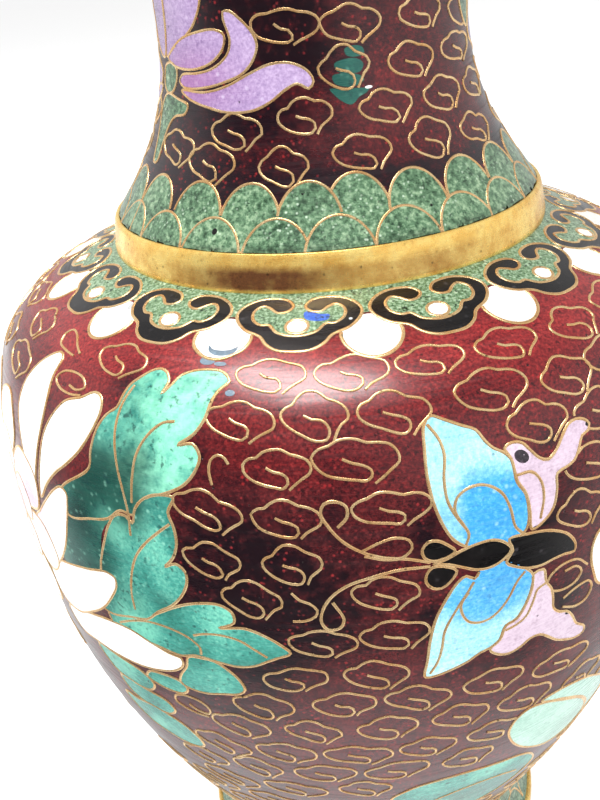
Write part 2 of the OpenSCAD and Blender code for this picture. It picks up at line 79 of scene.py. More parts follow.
BACKDROP = 1.6

# ---- The outer surface ----


class Profile:
    """A chain of cubic arcs [radius, height] that runs down the vase, read by a place's second number."""

    def __init__(self, arcs, along=True, steps=160):
        t = np.linspace(0, 1, steps + 1)[:, None]
        u = 1 - t
        points, slopes = [], []
        for arc in arcs:
            p = np.array(arc, float)
            d = np.diff(p, axis=0)
            points.append(u ** 3 * p[0] + 3 * u ** 2 * t * p[1] + 3 * u * t * t * p[2] + t ** 3 * p[3])
            slopes.append(u ** 2 * d[0] + 2 * u * t * d[1] + t * t * d[2])
        p = np.concatenate([points[0]] + [q[1:] for q in points[1:]])
        d = np.concatenate([slopes[0]] + [q[1:] for q in slopes[1:]])
        d /= np.linalg.norm(d, axis=1)[:, None]
        lengths = np.linalg.norm(np.diff(p, axis=0), axis=1)
        self.key = np.concatenate([[0], np.cumsum(lengths)]) if along else NECK_DATUM - p[:, 1]
        self.sign = 1 if along else -1
        self.table = np.column_stack([p, -d[:, 1], d[:, 0]])

    def read(self, s):
        """Radius, height, and the normal's share of each, at places."""
        return [np.interp(self.sign * np.asarray(s, float), self.key, c) for c in self.table.T]

    def place(self, th, s, lift=0.0):
        """Points and normals at places, lifted along the normal."""
        r, z, nr, nz = self.read(s)
        a = np.radians(th)
        r, z = r + lift * nr, z + lift * nz
        points = np.stack([r * np.sin(a), -r * np.cos(a), z + 0 * a], -1)
        return points, np.stack([nr * np.sin(a), -nr * np.cos(a), nz + 0 * a], -1)


NECK = Profile([[(30.2, NECK_TOP), (23.5, HEIGHT - 13), (WAIST_R, 166), (WAIST_R, WAIST_Z)],
                [(WAIST_R, WAIST_Z), (WAIST_R, 131), (21.8, 126.5), (NECK_BASE_R, COLLAR_TOP)]],
               along=False)
BODY = Profile([[(SHOULDER_R, COLLAR_LOW), (45.9, 108), (BELLY_R, 105.3), (BELLY_R, GIRTH_Z)],
                [(BELLY_R, GIRTH_Z), (BELLY_R, 53.1), (38, 34.8), (FOOT_TOP_R, FOOT_TOP)]])
FOOT = Profile([[(FOOT_TOP_R, FOOT_TOP), (26.8, 10.2), (27.6, 5.8), (FOOT_R - 0.6, 2.8)]])
BODY_END = BODY.key[-1]
NECK_END = NECK_TOP - NECK_DATUM

# ---- Outlines ----


def wrap(th):
    """An angle as -180 to 180."""
    return (th + 180) % 360 - 180


def mirrored(points, about=0.0):
    return [(2 * about - x, y) for x, y in reversed(points)]


def turned(points, by):
    return [(x + by, y) for x, y in points]


def oval(x, y, across, down, step=40, slant=0.0):
    """Points round an oval."""
    return [(x + across * math.cos(a) + slant * math.sin(a), y + down * math.sin(a))
            for a in np.radians(range(0, 360, step))]


def smooth(points, k, step=0.5, closed=True):
    """Centripetal Catmull-Rom curve through places, in steps of about `step` mm; k is mm to a degree."""
    p = np.array(points, float) * [k, 1]
    n = len(p)
    if closed:
        q = np.concatenate([p[-1:], p, p[:2]])
    else:
        q = np.concatenate([[2 * p[0] - p[1]], p, [2 * p[-1] - p[-2]]])
    out = []
    for i in range(n if closed else n - 1):
        p0, p1, p2, p3 = q[i:i + 4]
        t1 = max(np.linalg.norm(p1 - p0), 1e-6) ** 0.5
        t2 = t1 + max(np.linalg.norm(p2 - p1), 1e-6) ** 0.5
        t3 = t2 + max(np.linalg.norm(p3 - p2), 1e-6) ** 0.5
        count = max(1, int(round(np.linalg.norm(p2 - p1) / step)))
        t = (t1 + (t2 - t1) * np.arange(count) / count)[:, None]
        a1 = (t1 - t) / t1 * p0 + t / t1 * p1
        a2 = (t2 - t) / (t2 - t1) * p1 + (t - t1) / (t2 - t1) * p2
        a3 = (t3 - t) / (t3 - t2) * p2 + (t - t2) / (t3 - t2) * p3
        b1 = (t2 - t) / t2 * a1 + t / t2 * a2
        b2 = (t3 - t) / (t3 - t1) * a2 + (t - t1) / (t3 - t1) * a3
        out.append((t2 - t) / (t2 - t1) * b1 + (t - t1) / (t2 - t1) * b2)
    if not closed:
        out.append(p[-1:])
    return np.concatenate(out) / [k, 1]


def inside(points, loop):
    """Which of the places lie inside a closed outline."""
    x, y = points[:, 0], points[:, 1]
    a, b = loop, np.roll(loop, -1, axis=0)
    hit = np.zeros(len(points), bool)
    near = (x > loop[:, 0].min()) & (x < loop[:, 0].max()) & (y > loop[:, 1].min()) & (y < loop[:, 1].max())
    if not near.any():
        return hit
    xs, ys = x[near][:, None], y[near][:, None]
    crosses = (a[:, 1] > ys) != (b[:, 1] > ys)
    rise = np.where(b[:, 1] == a[:, 1], 1e-9, b[:, 1] - a[:, 1])
    edge = a[:, 0] + (ys - a[:, 1]) * (b[:, 0] - a[:, 0]) / rise
    hit[near] = (crosses & (xs < edge)).sum(1) % 2 == 1
    return hit


def pieces_outside(path, loops, closed):
    """The stretches of a path that lie outside all the loops."""
    hidden = np.zeros(len(path), bool)
    for loop in loops:
        hidden |= inside(path, loop)
    if not hidden.any():
        return [(path, closed)]
    if hidden.all():
        return []
    if closed:
        start = int(np.argmax(hidden))
        path, hidden = np.roll(path, -start, axis=0), np.roll(hidden, -start)
    runs, run = [], []
    for p, h in zip(path, hidden):
        if h:
            runs.append(run)
            run = []
        else:
            run.append(p)
    runs.append(run)
    return [(np.array(r), False) for r in runs if len(r) > 2]


# ---- Meshes ----


def placed(name, data):
    """A new object in the scene."""
    obj = bpy.data.objects.new(name, data)
    bpy.context.scene.collection.objects.link(obj)
    return obj


class Build:
    """Gathers the points, faces, normals and point values of one piece."""

    def __init__(self):
        self.points, self.normals, self.faces, self.values, self.count = [], [], [], {}, 0

    def add(self, points, normals, faces, **values):
        self.points.append(np.asarray(points, float))
        self.normals.append(np.asarray(normals, float))
        self.faces.extend([tuple(int(i) + self.count for i in f) for f in faces])
        for name in sorted(set(values) | set(self.values)):
            got = np.broadcast_to(np.asarray(values.get(name, 0.0), float), (len(points),))
            self.values.setdefault(name, [np.zeros(self.count)]).append(got)
        self.count += len(points)

    def piece(self, name, material, slot, replaces=()):
        mesh = bpy.data.meshes.new(name)
        mesh.from_pydata((np.concatenate(self.points) * MM).tolist(), [], self.faces)
        for key, got in self.values.items():
            data = mesh.attributes.new(key, "FLOAT", "POINT").data
            data.foreach_set("value", np.concatenate(got).astype("f"))
        mesh.polygons.foreach_set("use_smooth", [True] * len(mesh.polygons))
        mesh.update()
        mesh.normals_split_custom_set_from_vertices(np.concatenate(self.normals).tolist())
        mesh.materials.append(material)
        obj = placed(name, mesh)
        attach(obj, "root")
        if replaces:
            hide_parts(*replaces)


def quads_between(rows, across, closed=True):
    """Quads between rows of `across` points; closed joins the last row to the first."""
    i, j = np.meshgrid(np.arange(rows if closed else rows - 1), np.arange(across), indexing="ij")
    i2, j2 = (i + 1) % rows, (j + 1) % across
    corners = [i * across + j, i2 * across + j, i2 * across + j2, i * across + j2]
    return np.stack(corners, -1).reshape(-1, 4).tolist()


# A wire's cross-section: (part of the width, mm above the surface), and how far each point's normal leans
SECTION = np.array([(-0.5, -0.3), (-0.5, 0), (-0.33, 0.05), (0, 0.07), (0.33, 0.05), (0.5, 0), (0.5, -0.3)])
SECTION_LEAN = np.array([-1, -0.75, -0.4, 0, 0.4, 0.75, 1])[None, :, None]


def sweep(build, profile, path, closed=False, width=WIRE):
    """Adds a standing wire along a path of places, with slight changes in width from hand work."""
    n, m = len(path), len(SECTION)
    points, normals = profile.place(path[:, 0], path[:, 1])
    if closed:
        run = np.roll(points, -1, axis=0) - np.roll(points, 1, axis=0)
    else:
        run = np.gradient(points, axis=0)
    side = np.cross(normals, run)
    side /= np.linalg.norm(side, axis=1)[:, None] + 1e-12
    phase = rng.random() * 6
    waver = 1 + 0.05 * np.sin(np.arange(n) * 0.9 + phase) + 0.04 * np.sin(np.arange(n) * 2.3 + 2 * phase)
    across = (SECTION[:, 0][None, :, None] * width * waver[:, None, None]) * side[:, None, :]
    up = SECTION[:, 1][None, :, None] * normals[:, None, :]
    quads = quads_between(n, m, closed)
    if not closed:
        quads.append(list(range(m)))
        quads.append(list(range(n * m - 1, (n - 1) * m - 1, -1)))
    shown = side[:, None, :] * SECTION_LEAN + normals[:, None, :] * np.sqrt(1.02 - SECTION_LEAN ** 2)
    shown /= np.linalg.norm(shown, axis=2)[:, :, None]
    build.add((points[:, None, :] + across + up).reshape(-1, 3), shown.reshape(-1, 3), quads)


SKIRT = 0.35


def patch(build, profile, k, loop, lift, grid, tone, dark):
    """Adds the enamel of one cell: a face on a grid of about `grid` mm, whose edge goes down as a skirt."""
    loop = loop * [k, 1]
    gap = np.linalg.norm(np.roll(loop, -1, axis=0) - loop, axis=1)
    loop = loop[gap > 0.05]
    lo, hi = loop.min(0), loop.max(0)
    xs, ys = np.meshgrid(np.arange(lo[0], hi[0], grid), np.arange(lo[1], hi[1], grid * 0.87))
    xs[1::2] += grid / 2
    cells = np.column_stack([xs.ravel(), ys.ravel()])
    cells = cells[inside(cells, loop)]
    if len(cells):
        away = np.sqrt(((cells[:, None, :] - loop[None]) ** 2).sum(2).min(1))
        cells = cells[away > 0.32 * grid]
    edges = [(i, (i + 1) % len(loop)) for i in range(len(loop))]
    got = delaunay_2d_cdt([Vector(p) for p in np.concatenate([loop, cells])], edges, [], 0, 1e-5)
    flat = np.array([(v.x, v.y) for v in got[0]])
    tris = np.array([f for f in got[2] if len(f) == 3])
    tris = tris[inside(flat[tris].mean(1), loop)]
    e, f = flat[tris[:, 1]] - flat[tris[:, 0]], flat[tris[:, 2]] - flat[tris[:, 0]]
    turned_over = e[:, 0] * f[:, 1] - e[:, 1] * f[:, 0] < 0
    tris[turned_over] = tris[turned_over][:, ::-1]
    if profile.sign > 0:
        tris = tris[:, ::-1]

    def values(th, s):
        named = (("tone", tone), ("dark", dark))
        return {key: np.clip(f(th, s), 0, 1) for key, f in named if f is not None}

    th, s = (flat / [k, 1]).T
    top, normals = profile.place(th, s, lift)
    build.add(top, normals, tris, **values(th, s))
    th, s = (loop / [k, 1]).T
    upper, out = profile.place(th, s, lift)
    lower, _ = profile.place(th, s, lift - SKIRT)
    n = len(loop)
    walls = [(i, (i + 1) % n, n + (i + 1) % n, n + i) for i in range(n)]
    rim = values(np.tile(th, 2), np.tile(s, 2))
    build.add(np.concatenate([upper, lower]), np.concatenate([out, out]), walls, **rim)


def lathe(build, rows, steps, **values):
    """Adds a closed ring turned from rows of (radius, height, normal radius, normal height)."""
    rows = np.array(rows, float)
    a = np.radians(np.arange(steps) * 360 / steps)
    s, c = np.sin(a)[None], -np.cos(a)[None]
    points = np.stack([rows[:, :1] * s, rows[:, :1] * c, rows[:, 1:2] + 0 * s], -1).reshape(-1, 3)
    normals = np.stack([rows[:, 2:3] * s, rows[:, 2:3] * c, rows[:, 3:4] + 0 * s], -1).reshape(-1, 3)
    build.add(points, normals, quads_between(len(rows), steps), **values)


def layer_rows(profile, a, b, step, top, depth=ENAMEL):
    """Rows for lathe(): the outer face of an enamel layer from place a to b, and its hidden inner face."""
    s = np.linspace(a, b, max(2, int(abs(b - a) / step)))
    r, z, nr, nz = profile.read(s)
    outer = np.column_stack([r + top * nr, z + top * nz, nr, nz])
    s = np.linspace(b, a, max(2, int(abs(b - a) / (6 * step))))
    r, z, nr, nz = profile.read(s)
    inner = np.column_stack([r - depth * nr, z - depth * nz, -nr, -nz])
    return np.concatenate([outer, inner])


# ---- Materials ----


class Nodes:
    """A node tree in the making, for a material or for the world."""

    def __init__(self, owner):
        owner.use_nodes = True
        self.tree = owner.node_tree
        self.tree.nodes.clear()

    def node(self, kind, **settings):
        n = self.tree.nodes.new(kind)
        for key, value in settings.items():
            setattr(n, key, value)
        return n

    def link(self, a, b):
        self.tree.links.new(a, b)

    def put(self, socket, value):
        if isinstance(value, bpy.types.NodeSocket):
            self.link(value, socket)
        else:
            socket.default_value = value

    def span(self, value, a, b, to_a=0.0, to_b=1.0, ease="LINEAR"):
        n = self.node("ShaderNodeMapRange", clamp=True, interpolation_type=ease)
        for socket, v in zip(n.inputs, (value, a, b, to_a, to_b)):
            self.put(socket, v)
        return n.outputs[0]

    def math(self, kind, a, b=0.0, clamp=False):
        n = self.node("ShaderNodeMath", operation=kind, use_clamp=clamp)
        self.put(n.inputs[0], a)
        self.put(n.inputs[1], b)
        return n.outputs[0]

    def times(self, a, b):
        return self.math("MULTIPLY", a, b)

    def plus(self, a, b, clamp=False):
        return self.math("ADD", a, b, clamp)


class Shade(Nodes):
    """A node material in the making."""

    def __init__(self, name):
        self.mat = bpy.data.materials.new(name)
        super().__init__(self.mat)
        self.bsdf = self.node("ShaderNodeBsdfPrincipled")
        self.link(self.bsdf.outputs[0], self.node("ShaderNodeOutputMaterial").inputs[0])
        self.here = self.node("ShaderNodeTexCoord").outputs["Object"]

    def set(self, **values):
        for key, value in values.items():
            self.put(self.bsdf.inputs[key.replace("_", " ")], value)

    def mapped(self, **values):
        """The object's own coordinates, scaled or moved."""
        n = self.node("ShaderNodeMapping")
        for key, value in values.items():
            n.inputs[key].default_value = value
        self.link(self.here, n.inputs["Vector"])
        return n.outputs[0]

    def moved(self, by):
        return self.mapped(Location=(by, by * 0.7, by * 1.3))

    def noise(self, size, detail=3.0, rough=0.55, at=None):
        """Noise with features of about `size` mm."""
        n = self.node("ShaderNodeTexNoise")
        self.link(at or self.here, n.inputs["Vector"])
        n.inputs["Scale"].default_value = 1 / (size * MM)
        n.inputs["Detail"].default_value = detail
        n.inputs["Roughness"].default_value = rough
        return n.outputs["Fac"]

    def spots(self, size, near, far, seed=0.0):
        """Round spots on cells of about `size` mm: 1 at a spot's middle, 0 beyond it."""
        n = self.node("ShaderNodeTexVoronoi")
        n.inputs["Scale"].default_value = 1 / (size * MM)
        self.link(self.moved(seed), n.inputs["Vector"])
        return self.span(n.outputs["Distance"], near, far, 1.0, 0.0)

    def mix(self, fac, a, b):
        n = self.node("ShaderNodeMix", data_type="RGBA")
        self.put(n.inputs[0], fac)
        for socket, v in zip(n.inputs[6:8], (a, b)):
            self.put(socket, v if isinstance(v, bpy.types.NodeSocket) else (*v, 1.0))
        return n.outputs[2]

    def ramp(self, fac, stops):
        """Three colours, met at 0, 0.5 and 1."""
        n = self.node("ShaderNodeValToRGB")
        marks = n.color_ramp.elements
        marks.new(0.5)
        for mark, colour in zip(marks, stops):
            mark.color = (*linear(colour), 1.0)
        self.link(fac, n.inputs[0])
        return n.outputs[0]

    def value(self, name):
        return self.node("ShaderNodeAttribute", attribute_name=name).outputs["Fac"]

    def bump(self, height, distance, strength=1.0, after=None):
        n = self.node("ShaderNodeBump")
        n.inputs["Strength"].default_value = strength
        n.inputs["Distance"].default_value = distance * MM
        self.link(height, n.inputs["Height"])
        if after:
            self.link(after, n.inputs["Normal"])
        return n.outputs[0]


def linear(colour):
    """A colour given as 0 to 255 on screen, as the linear values that a shader takes."""
    shares = [c / 255 for c in colour]
    return tuple(c / 12.92 if c <= 0.04045 else ((c + 0.055) / 1.055) ** 2.4 for c in shares)


PIT_COLOUR = (0.006, 0.005, 0.005)
DOT_COLOUR = (0.03, 0.018, 0.01)


def enamel(name, stops, tone=(), fleck=None, light=None, dark=None, grain=0.42, size=1.0, pits=1.0,
           waves=1.0, cloudy=0.25):
    """Fired glass: powdered grains of several shades, some flecks and burst bubbles, polished by hand.

    stops: three colours for the grains. tone: three colours reached as the point value 'tone' goes to 1.
    fleck and light: the colour of dark and of bright grains, then how strong they are. dark: the colour
    where the point value 'dark' is 1, near-black in a ground; in a leaf it is a paler colour that paints a
    highlight. grain, size: mm across grains, and a scale for flecks."""
    m = Shade(name)
    grains = m.noise(grain, 3.0, 0.7)
    broad = m.noise(9.0, 2.0, 0.5)
    level = m.span(m.plus(m.times(grains, 1 - cloudy), m.times(broad, cloudy)), 0.36, 0.64)
    colour = m.ramp(level, stops)
    if tone:
        soft = m.plus(m.value("tone"), m.times(m.plus(grains, -0.5), 0.5), True)
        colour = m.mix(soft, colour, m.ramp(level, tone))
    # Near-black ground enamel where 'dark' is 1; on a leaf the same mix paints a paler highlight instead.
    if dark:
        away = m.times(m.plus(m.noise(1.6, 3.0, 0.65), -0.5), 1.5)
        gloom_and_highlight = m.plus(m.value("dark"), m.times(away, m.span(m.value("dark"), 0.0, 0.3)), True)
        colour = m.mix(gloom_and_highlight, colour, linear(dark))
    if light:
        bright = m.times(m.spots(1.1 * size, 0.10, 0.30, 3.1), m.span(m.noise(4.0), 0.44, 0.62))
        colour = m.mix(m.times(bright, light[3]), colour, linear(light[:3]))
    if fleck:
        small = m.span(m.noise(0.75 * size, 2.0, 0.6, m.moved(7.7)), 0.57, 0.68)
        dots = m.times(small, m.span(m.noise(3.0, 2.0), 0.36, 0.56))
        colour = m.mix(m.times(dots, fleck[3]), colour, linear(fleck[:3]))
    pores = m.times(m.spots(2.3, 0.035, 0.075, 1.9), m.span(m.noise(7.0, 1.0), 0.46, 0.52))
    pores = m.times(pores, pits)
    colour = m.mix(m.times(pores, 0.85), colour, PIT_COLOUR)
    scratches = m.noise(1.0, 3.0, 0.7, m.mapped(Scale=(0.05, 0.05, 2.2)))
    wear = m.span(scratches, 0.48, 0.72)
    roughness = m.plus(m.plus(m.times(wear, 0.22), m.times(broad, 0.10)), 0.22)
    m.set(Base_Color=colour, Roughness=roughness, IOR=1.55, Coat_Weight=0.35, Coat_Roughness=0.17)
    height = m.bump(m.noise(4.5, 1.0, 0.4), 0.05 * waves)
    height = m.bump(scratches, 0.006, 1.0, height)
    m.set(Normal=m.bump(m.math("SUBTRACT", 1.0, pores), 0.12, 0.8, height))
    return m.mat


def gilt(name, base, worn, deep, rough=0.28, grain=0.6, patina=None, metal=1.0):
    """Gilt copper: rubbed high spots, brown tarnish in patches, fine scratches along the turning."""
    m = Shade(name)
    patches = m.span(m.noise(3.2, 4.0, 0.65), 0.38, 0.66)
    fine = m.noise(grain, 4.0, 0.7)
    colour = m.mix(patches, linear(base), linear(worn))
    if patina:
        age = m.plus(m.value("patina"), m.times(m.plus(patches, -0.5), 0.35), True)
        colour = m.mix(age, colour, linear(patina))
    colour = m.mix(m.times(m.span(fine, 0.55, 0.72), 0.45), colour, linear(deep))
    dots = m.times(m.spots(0.8, 0.10, 0.26, 2.3), m.span(m.noise(2.5, 2.0), 0.48, 0.62))
    colour = m.mix(m.times(dots, 0.75), colour, DOT_COLOUR)
    lines = m.noise(1.0, 3.0, 0.7, m.mapped(Scale=(0.04, 0.04, 3.5)))
    roughness = m.plus(m.plus(m.times(fine, 0.22), m.times(lines, 0.14)), rough - 0.18)
    m.set(Base_Color=colour, Metallic=metal, Roughness=roughness)
    m.set(Normal=m.bump(lines, 0.02, 0.6, m.bump(fine, 0.02, 0.7)))
    return m.mat


# The tone colours of this enamel are painted light: the brighter red laid on the upper shoulder, where the
# overhead lamp falls.
OXBLOOD = enamel("oxblood", ((58, 13, 19), (88, 22, 25), (118, 32, 33)),
                 tone=((104, 24, 28), (146, 40, 42), (184, 62, 58)), fleck=(30, 10, 14, 0.8),
                 light=(176, 40, 42, 0.5), dark=(26, 10, 18), grain=0.34, size=0.7)
GREEN = enamel("green", ((40, 64, 44), (88, 120, 90), (146, 172, 138)), dark=(30, 30, 24),
               fleck=(22, 46, 32, 0.85), light=(200, 220, 196, 0.7), grain=0.7, pits=0.9, size=0.6)
LAPPET_GREEN = enamel("lappet_green", ((46, 72, 46), (106, 136, 98), (172, 196, 158)),
                      fleck=(22, 42, 22, 1.0), light=(220, 236, 200, 0.7), grain=0.32, cloudy=0.1,
                      tone=((34, 70, 160), (52, 94, 190), (76, 122, 210)), size=0.8)
BLACK = enamel("black", ((8, 6, 7), (13, 11, 12), (26, 21, 21)), light=(88, 84, 88, 0.35), cloudy=0.5)
WHITE = enamel("white", ((226, 222, 214), (240, 238, 232), (250, 249, 246)), fleck=(206, 196, 184, 0.4),
               cloudy=0.5, pits=0.5, tone=((64, 84, 100), (88, 108, 124), (122, 140, 154)))
BLUE = enamel("blue", ((36, 132, 194), (54, 152, 210), (92, 182, 228)),
              tone=((126, 186, 204), (152, 206, 218), (184, 224, 231)), fleck=(50, 100, 140, 0.35),
              light=(186, 226, 236, 0.4), cloudy=0.45, pits=0.6)
PINK = enamel("pink", ((178, 158, 174), (198, 178, 194), (212, 196, 208)), fleck=(132, 104, 124, 0.4),
              cloudy=0.3, pits=0.8, tone=((26, 20, 26), (36, 29, 36), (52, 44, 52)))
# The dark= colour of this enamel is a painted highlight: the pale green laid on the tips of the upper leaf.
LEAF = enamel("leaf", ((32, 104, 92), (60, 146, 132), (120, 204, 178)),
              tone=((8, 40, 38), (16, 62, 54), (34, 88, 76)), fleck=(12, 54, 54, 0.7),
              light=(150, 214, 190, 0.4), cloudy=0.6, pits=0.8, dark=(156, 234, 196))
PALE_LEAF = enamel("pale_leaf", ((136, 178, 160), (164, 202, 186), (194, 224, 210)),
                   fleck=(110, 150, 136, 0.4), cloudy=0.5, pits=0.5)
PETAL = enamel("petal", ((232, 226, 218), (244, 240, 234), (252, 250, 246)),
               tone=((166, 124, 164), (188, 152, 186), (208, 180, 204)), fleck=(204, 190, 186, 0.4),
               cloudy=0.5, pits=0.5)
LILAC = enamel("lilac", ((136, 114, 154), (158, 137, 175), (182, 164, 196)),
               tone=((138, 92, 144), (156, 112, 158), (174, 136, 174)), fleck=(112, 84, 130, 0.55),
               light=(216, 204, 224, 0.4), grain=0.36, pits=0.9)
LINING = enamel("lining", ((40, 150, 158), (66, 178, 184), (110, 204, 204)), fleck=(30, 90, 100, 0.6),
                light=(176, 232, 228, 0.4), waves=2.5)
WIRE_GOLD = gilt("wire", (248, 214, 160), (230, 178, 118), (150, 100, 66), grain=0.26, metal=0.74)
RING_GOLD = gilt("ring", (255, 222, 132), (250, 196, 96), (182, 122, 64), patina=(126, 82, 52), metal=0.6)
COPPER = gilt("raw_copper", (170, 96, 66), (120, 66, 48), (60, 34, 28), rough=0.42)

# ---- Ornament outlines ----

LAPPET_OUTER = [
    (0, 9.3), (2.8, 9.1), (4.9, 8.2), (6.2, 7.1), (9.4, 6.1), (11.6, 4.6), (12.1, 3.4), (11.1, 2.2),
    (8.6, 1.2), (5.4, 0.9), (2.4, 1.3)]
LAPPET_INNER = [
    (1.2, 2.3), (2.2, 3.1), (4.2, 3.3), (5.7, 2.6), (7.4, 2.2), (8.9, 3.1), (8.6, 4.4), (6.8, 5.3),
    (5.2, 5.3), (3.6, 6.4), (1.8, 6.9)]
LAPPET_LOOP = (LAPPET_OUTER + LAPPET_INNER + [(0, 7.05)] + mirrored(LAPPET_INNER)
               + mirrored(LAPPET_OUTER[1:]))
LAPPET_EDGE = LAPPET_OUTER + mirrored(LAPPET_OUTER[1:])
FIELD = [(2.4, 1.3)] + LAPPET_INNER + [(0, 7.05)] + mirrored(LAPPET_INNER) + [(-2.4, 1.3)]
OVAL = oval(0, 5.55, 2.1, 1.15, 30)
PENDANT = [(4.9, 6.4), (5.2, 7.4), (4.6, 8.8), (3.2, 10), (1.4, 10.7), (0, 10.85)]
PENDANT_U = PENDANT + mirrored(PENDANT[:-1])
REPAIR = [(1.1, 3.35), (2, 3.15), (3.8, 3.7), (5.9, 3.9), (5.7, 4.6), (4.1, 4.9), (1.6, 4.5), (1.1, 4)]
CHIP = [
    (-21.6, 8.6), (-20.8, 9.1), (-19.2, 9.25), (-17.5, 9.05), (-16.4, 8.5), (-16.7, 9.4), (-18.2, 9.95),
    (-20, 9.95), (-21.3, 9.4)]
LAPPETS = 14
LAPPET_FIRST = -7.0
PITCH = 360 / LAPPETS

WING_TOP = [
    (13.6, 33.2), (12, 32), (10.8, 30), (9.9, 27.5), (9.4, 24.5), (9.5, 21.5), (9.9, 19.2), (10.9, 18.4),
    (12.5, 19), (14.5, 19.9), (16.3, 20.7), (17.2, 22), (18.2, 23), (19.3, 23.6), (20.2, 24.5),
    (20.7, 27.2), (21.7, 28.7), (22.1, 30.7), (22, 32.5), (21.3, 33.5), (17, 34.2)]
WING_LOW = [
    (14.6, 37.6), (13.5, 37), (12.4, 37.6), (10.9, 39.5), (9.5, 42), (8.7, 45), (8.3, 48), (8, 50.7),
    (9.5, 50.7), (12, 50.1), (13.8, 49.5), (15.5, 48.6), (16.8, 48.3), (18.2, 47.4), (19, 45.5), (20.5, 45),
    (21.8, 43.3), (22.7, 41), (22.8, 39.5), (22, 38.5), (19, 36.5), (16, 36)]
WING_VEINS = [
    [(10.3, 19.2), (11.4, 20.8), (11.8, 22.5), (11.4, 25), (11.6, 27.5), (12.6, 29.5), (14, 31.8),
     (13.6, 33)],
    [(13.4, 30.6), (12.4, 28.7), (12.8, 27.3), (14, 26.6), (15.5, 26.4), (17, 26.8), (18.6, 28), (19.6, 30),
     (20.2, 32.4), (21.1, 33.4)],
    [(8.6, 50.2), (9.6, 48.6), (10.2, 46.5), (10.6, 44), (12, 41.5), (13.6, 39.3), (14.5, 38)],
    [(13.8, 39.3), (12.8, 40.6), (12.9, 42), (13.8, 43.4), (15.2, 43.9), (16.8, 43.7), (18.2, 42.8),
     (19.4, 41.4), (20.5, 39.6), (21.6, 38.6)]]
THORAX = [
    (9.4, 34.6), (11, 34.3), (13, 33.6), (15, 33.2), (17, 33.2), (18.5, 33.8), (19.6, 35), (18.8, 35.9),
    (17, 36.6), (15, 36.5), (13, 35.7), (11.3, 35)]
EYE_TOP = [
    (9.3, 34.2), (8.3, 33.6), (8.1, 32.6), (8.9, 31.8), (10, 31.8), (11.2, 32.5), (12.2, 33.5), (11, 34.1)]
EYE_LOW = [
    (9.3, 35), (8.5, 35.8), (8.4, 36.8), (9.2, 37.7), (10.3, 37.9), (11.4, 37.3), (12.3, 36), (11.2, 35.3)]
ABDOMEN = [
    (19.3, 33.7), (22, 33.8), (24.5, 34.2), (26.5, 34.9), (28.3, 36), (29.5, 37.7), (29.3, 38.6),
    (27.8, 38.4), (26, 38.4), (24, 38.6), (22, 38.3), (20.3, 37.6), (18.9, 36.6), (19.8, 35.3)]
TAIL_TOP = [
    (19.6, 23.3), (20.7, 22.9), (22, 23.2), (23, 24.2), (24.2, 25.4), (25.5, 25.9), (26.8, 25.2), (28, 24),
    (29.3, 23), (30.6, 22.8), (31.9, 23.2), (32.6, 23.9), (32.3, 24.5), (31.1, 24.8), (30.4, 25.9),
    (29.4, 27.1), (28, 27.5), (26.6, 27.8), (26.4, 29.6), (25.8, 31.6), (24.6, 32.7), (22.6, 33.4),
    (22.3, 31), (21.8, 28.7), (20.8, 27.2), (20.3, 24.6)]
TAIL_LOW = [
    (22.9, 39.4), (24.4, 39.3), (24.9, 41.2), (25.8, 42.5), (26.2, 44), (26.4, 45.6), (27.5, 46.7),
    (29, 47.3), (30, 48.4), (31.1, 50.2), (32.9, 51.6), (32.8, 52.5), (31.3, 52.7), (29.4, 52.1),
    (27.5, 51.2), (26, 50), (24.5, 49), (23, 49), (21.5, 49.8), (19.8, 50.2), (18.2, 49.8), (16.9, 48.6),
    (18.3, 47.5), (19.1, 45.6), (20.6, 45.1), (21.9, 43.4), (22.8, 41.1)]
EYE_SPOT = oval(21.75, 24.65, 0.95, 0.8, 45, 0.35)
TAIL_VEINS = [
    [(20.8, 26.5), (22.8, 26.6), (24, 27.8), (24.4, 29.8), (23.8, 32.4)],
    [(19, 46.3), (20.5, 46), (22, 45.2), (23, 43.3), (23.6, 41.8), (24.8, 41.4)]]
FEELERS = [
    [(9, 34.3), (6.5, 33.5), (3, 32.8), (0.5, 31.8), (-1.5, 30.4), (-3, 28.6), (-3.7, 27.2), (-3.2, 26.2),
     (-1.8, 26), (-0.6, 26.6), (-0.6, 27.8), (-1.8, 28.9)],
    [(9, 34.8), (5, 34.7), (2, 35.2), (-1, 36), (-3.2, 37.4), (-4.5, 39.2), (-4.8, 41), (-4, 42),
     (-2.6, 41.8), (-2, 40.6), (-3.2, 38.2)]]

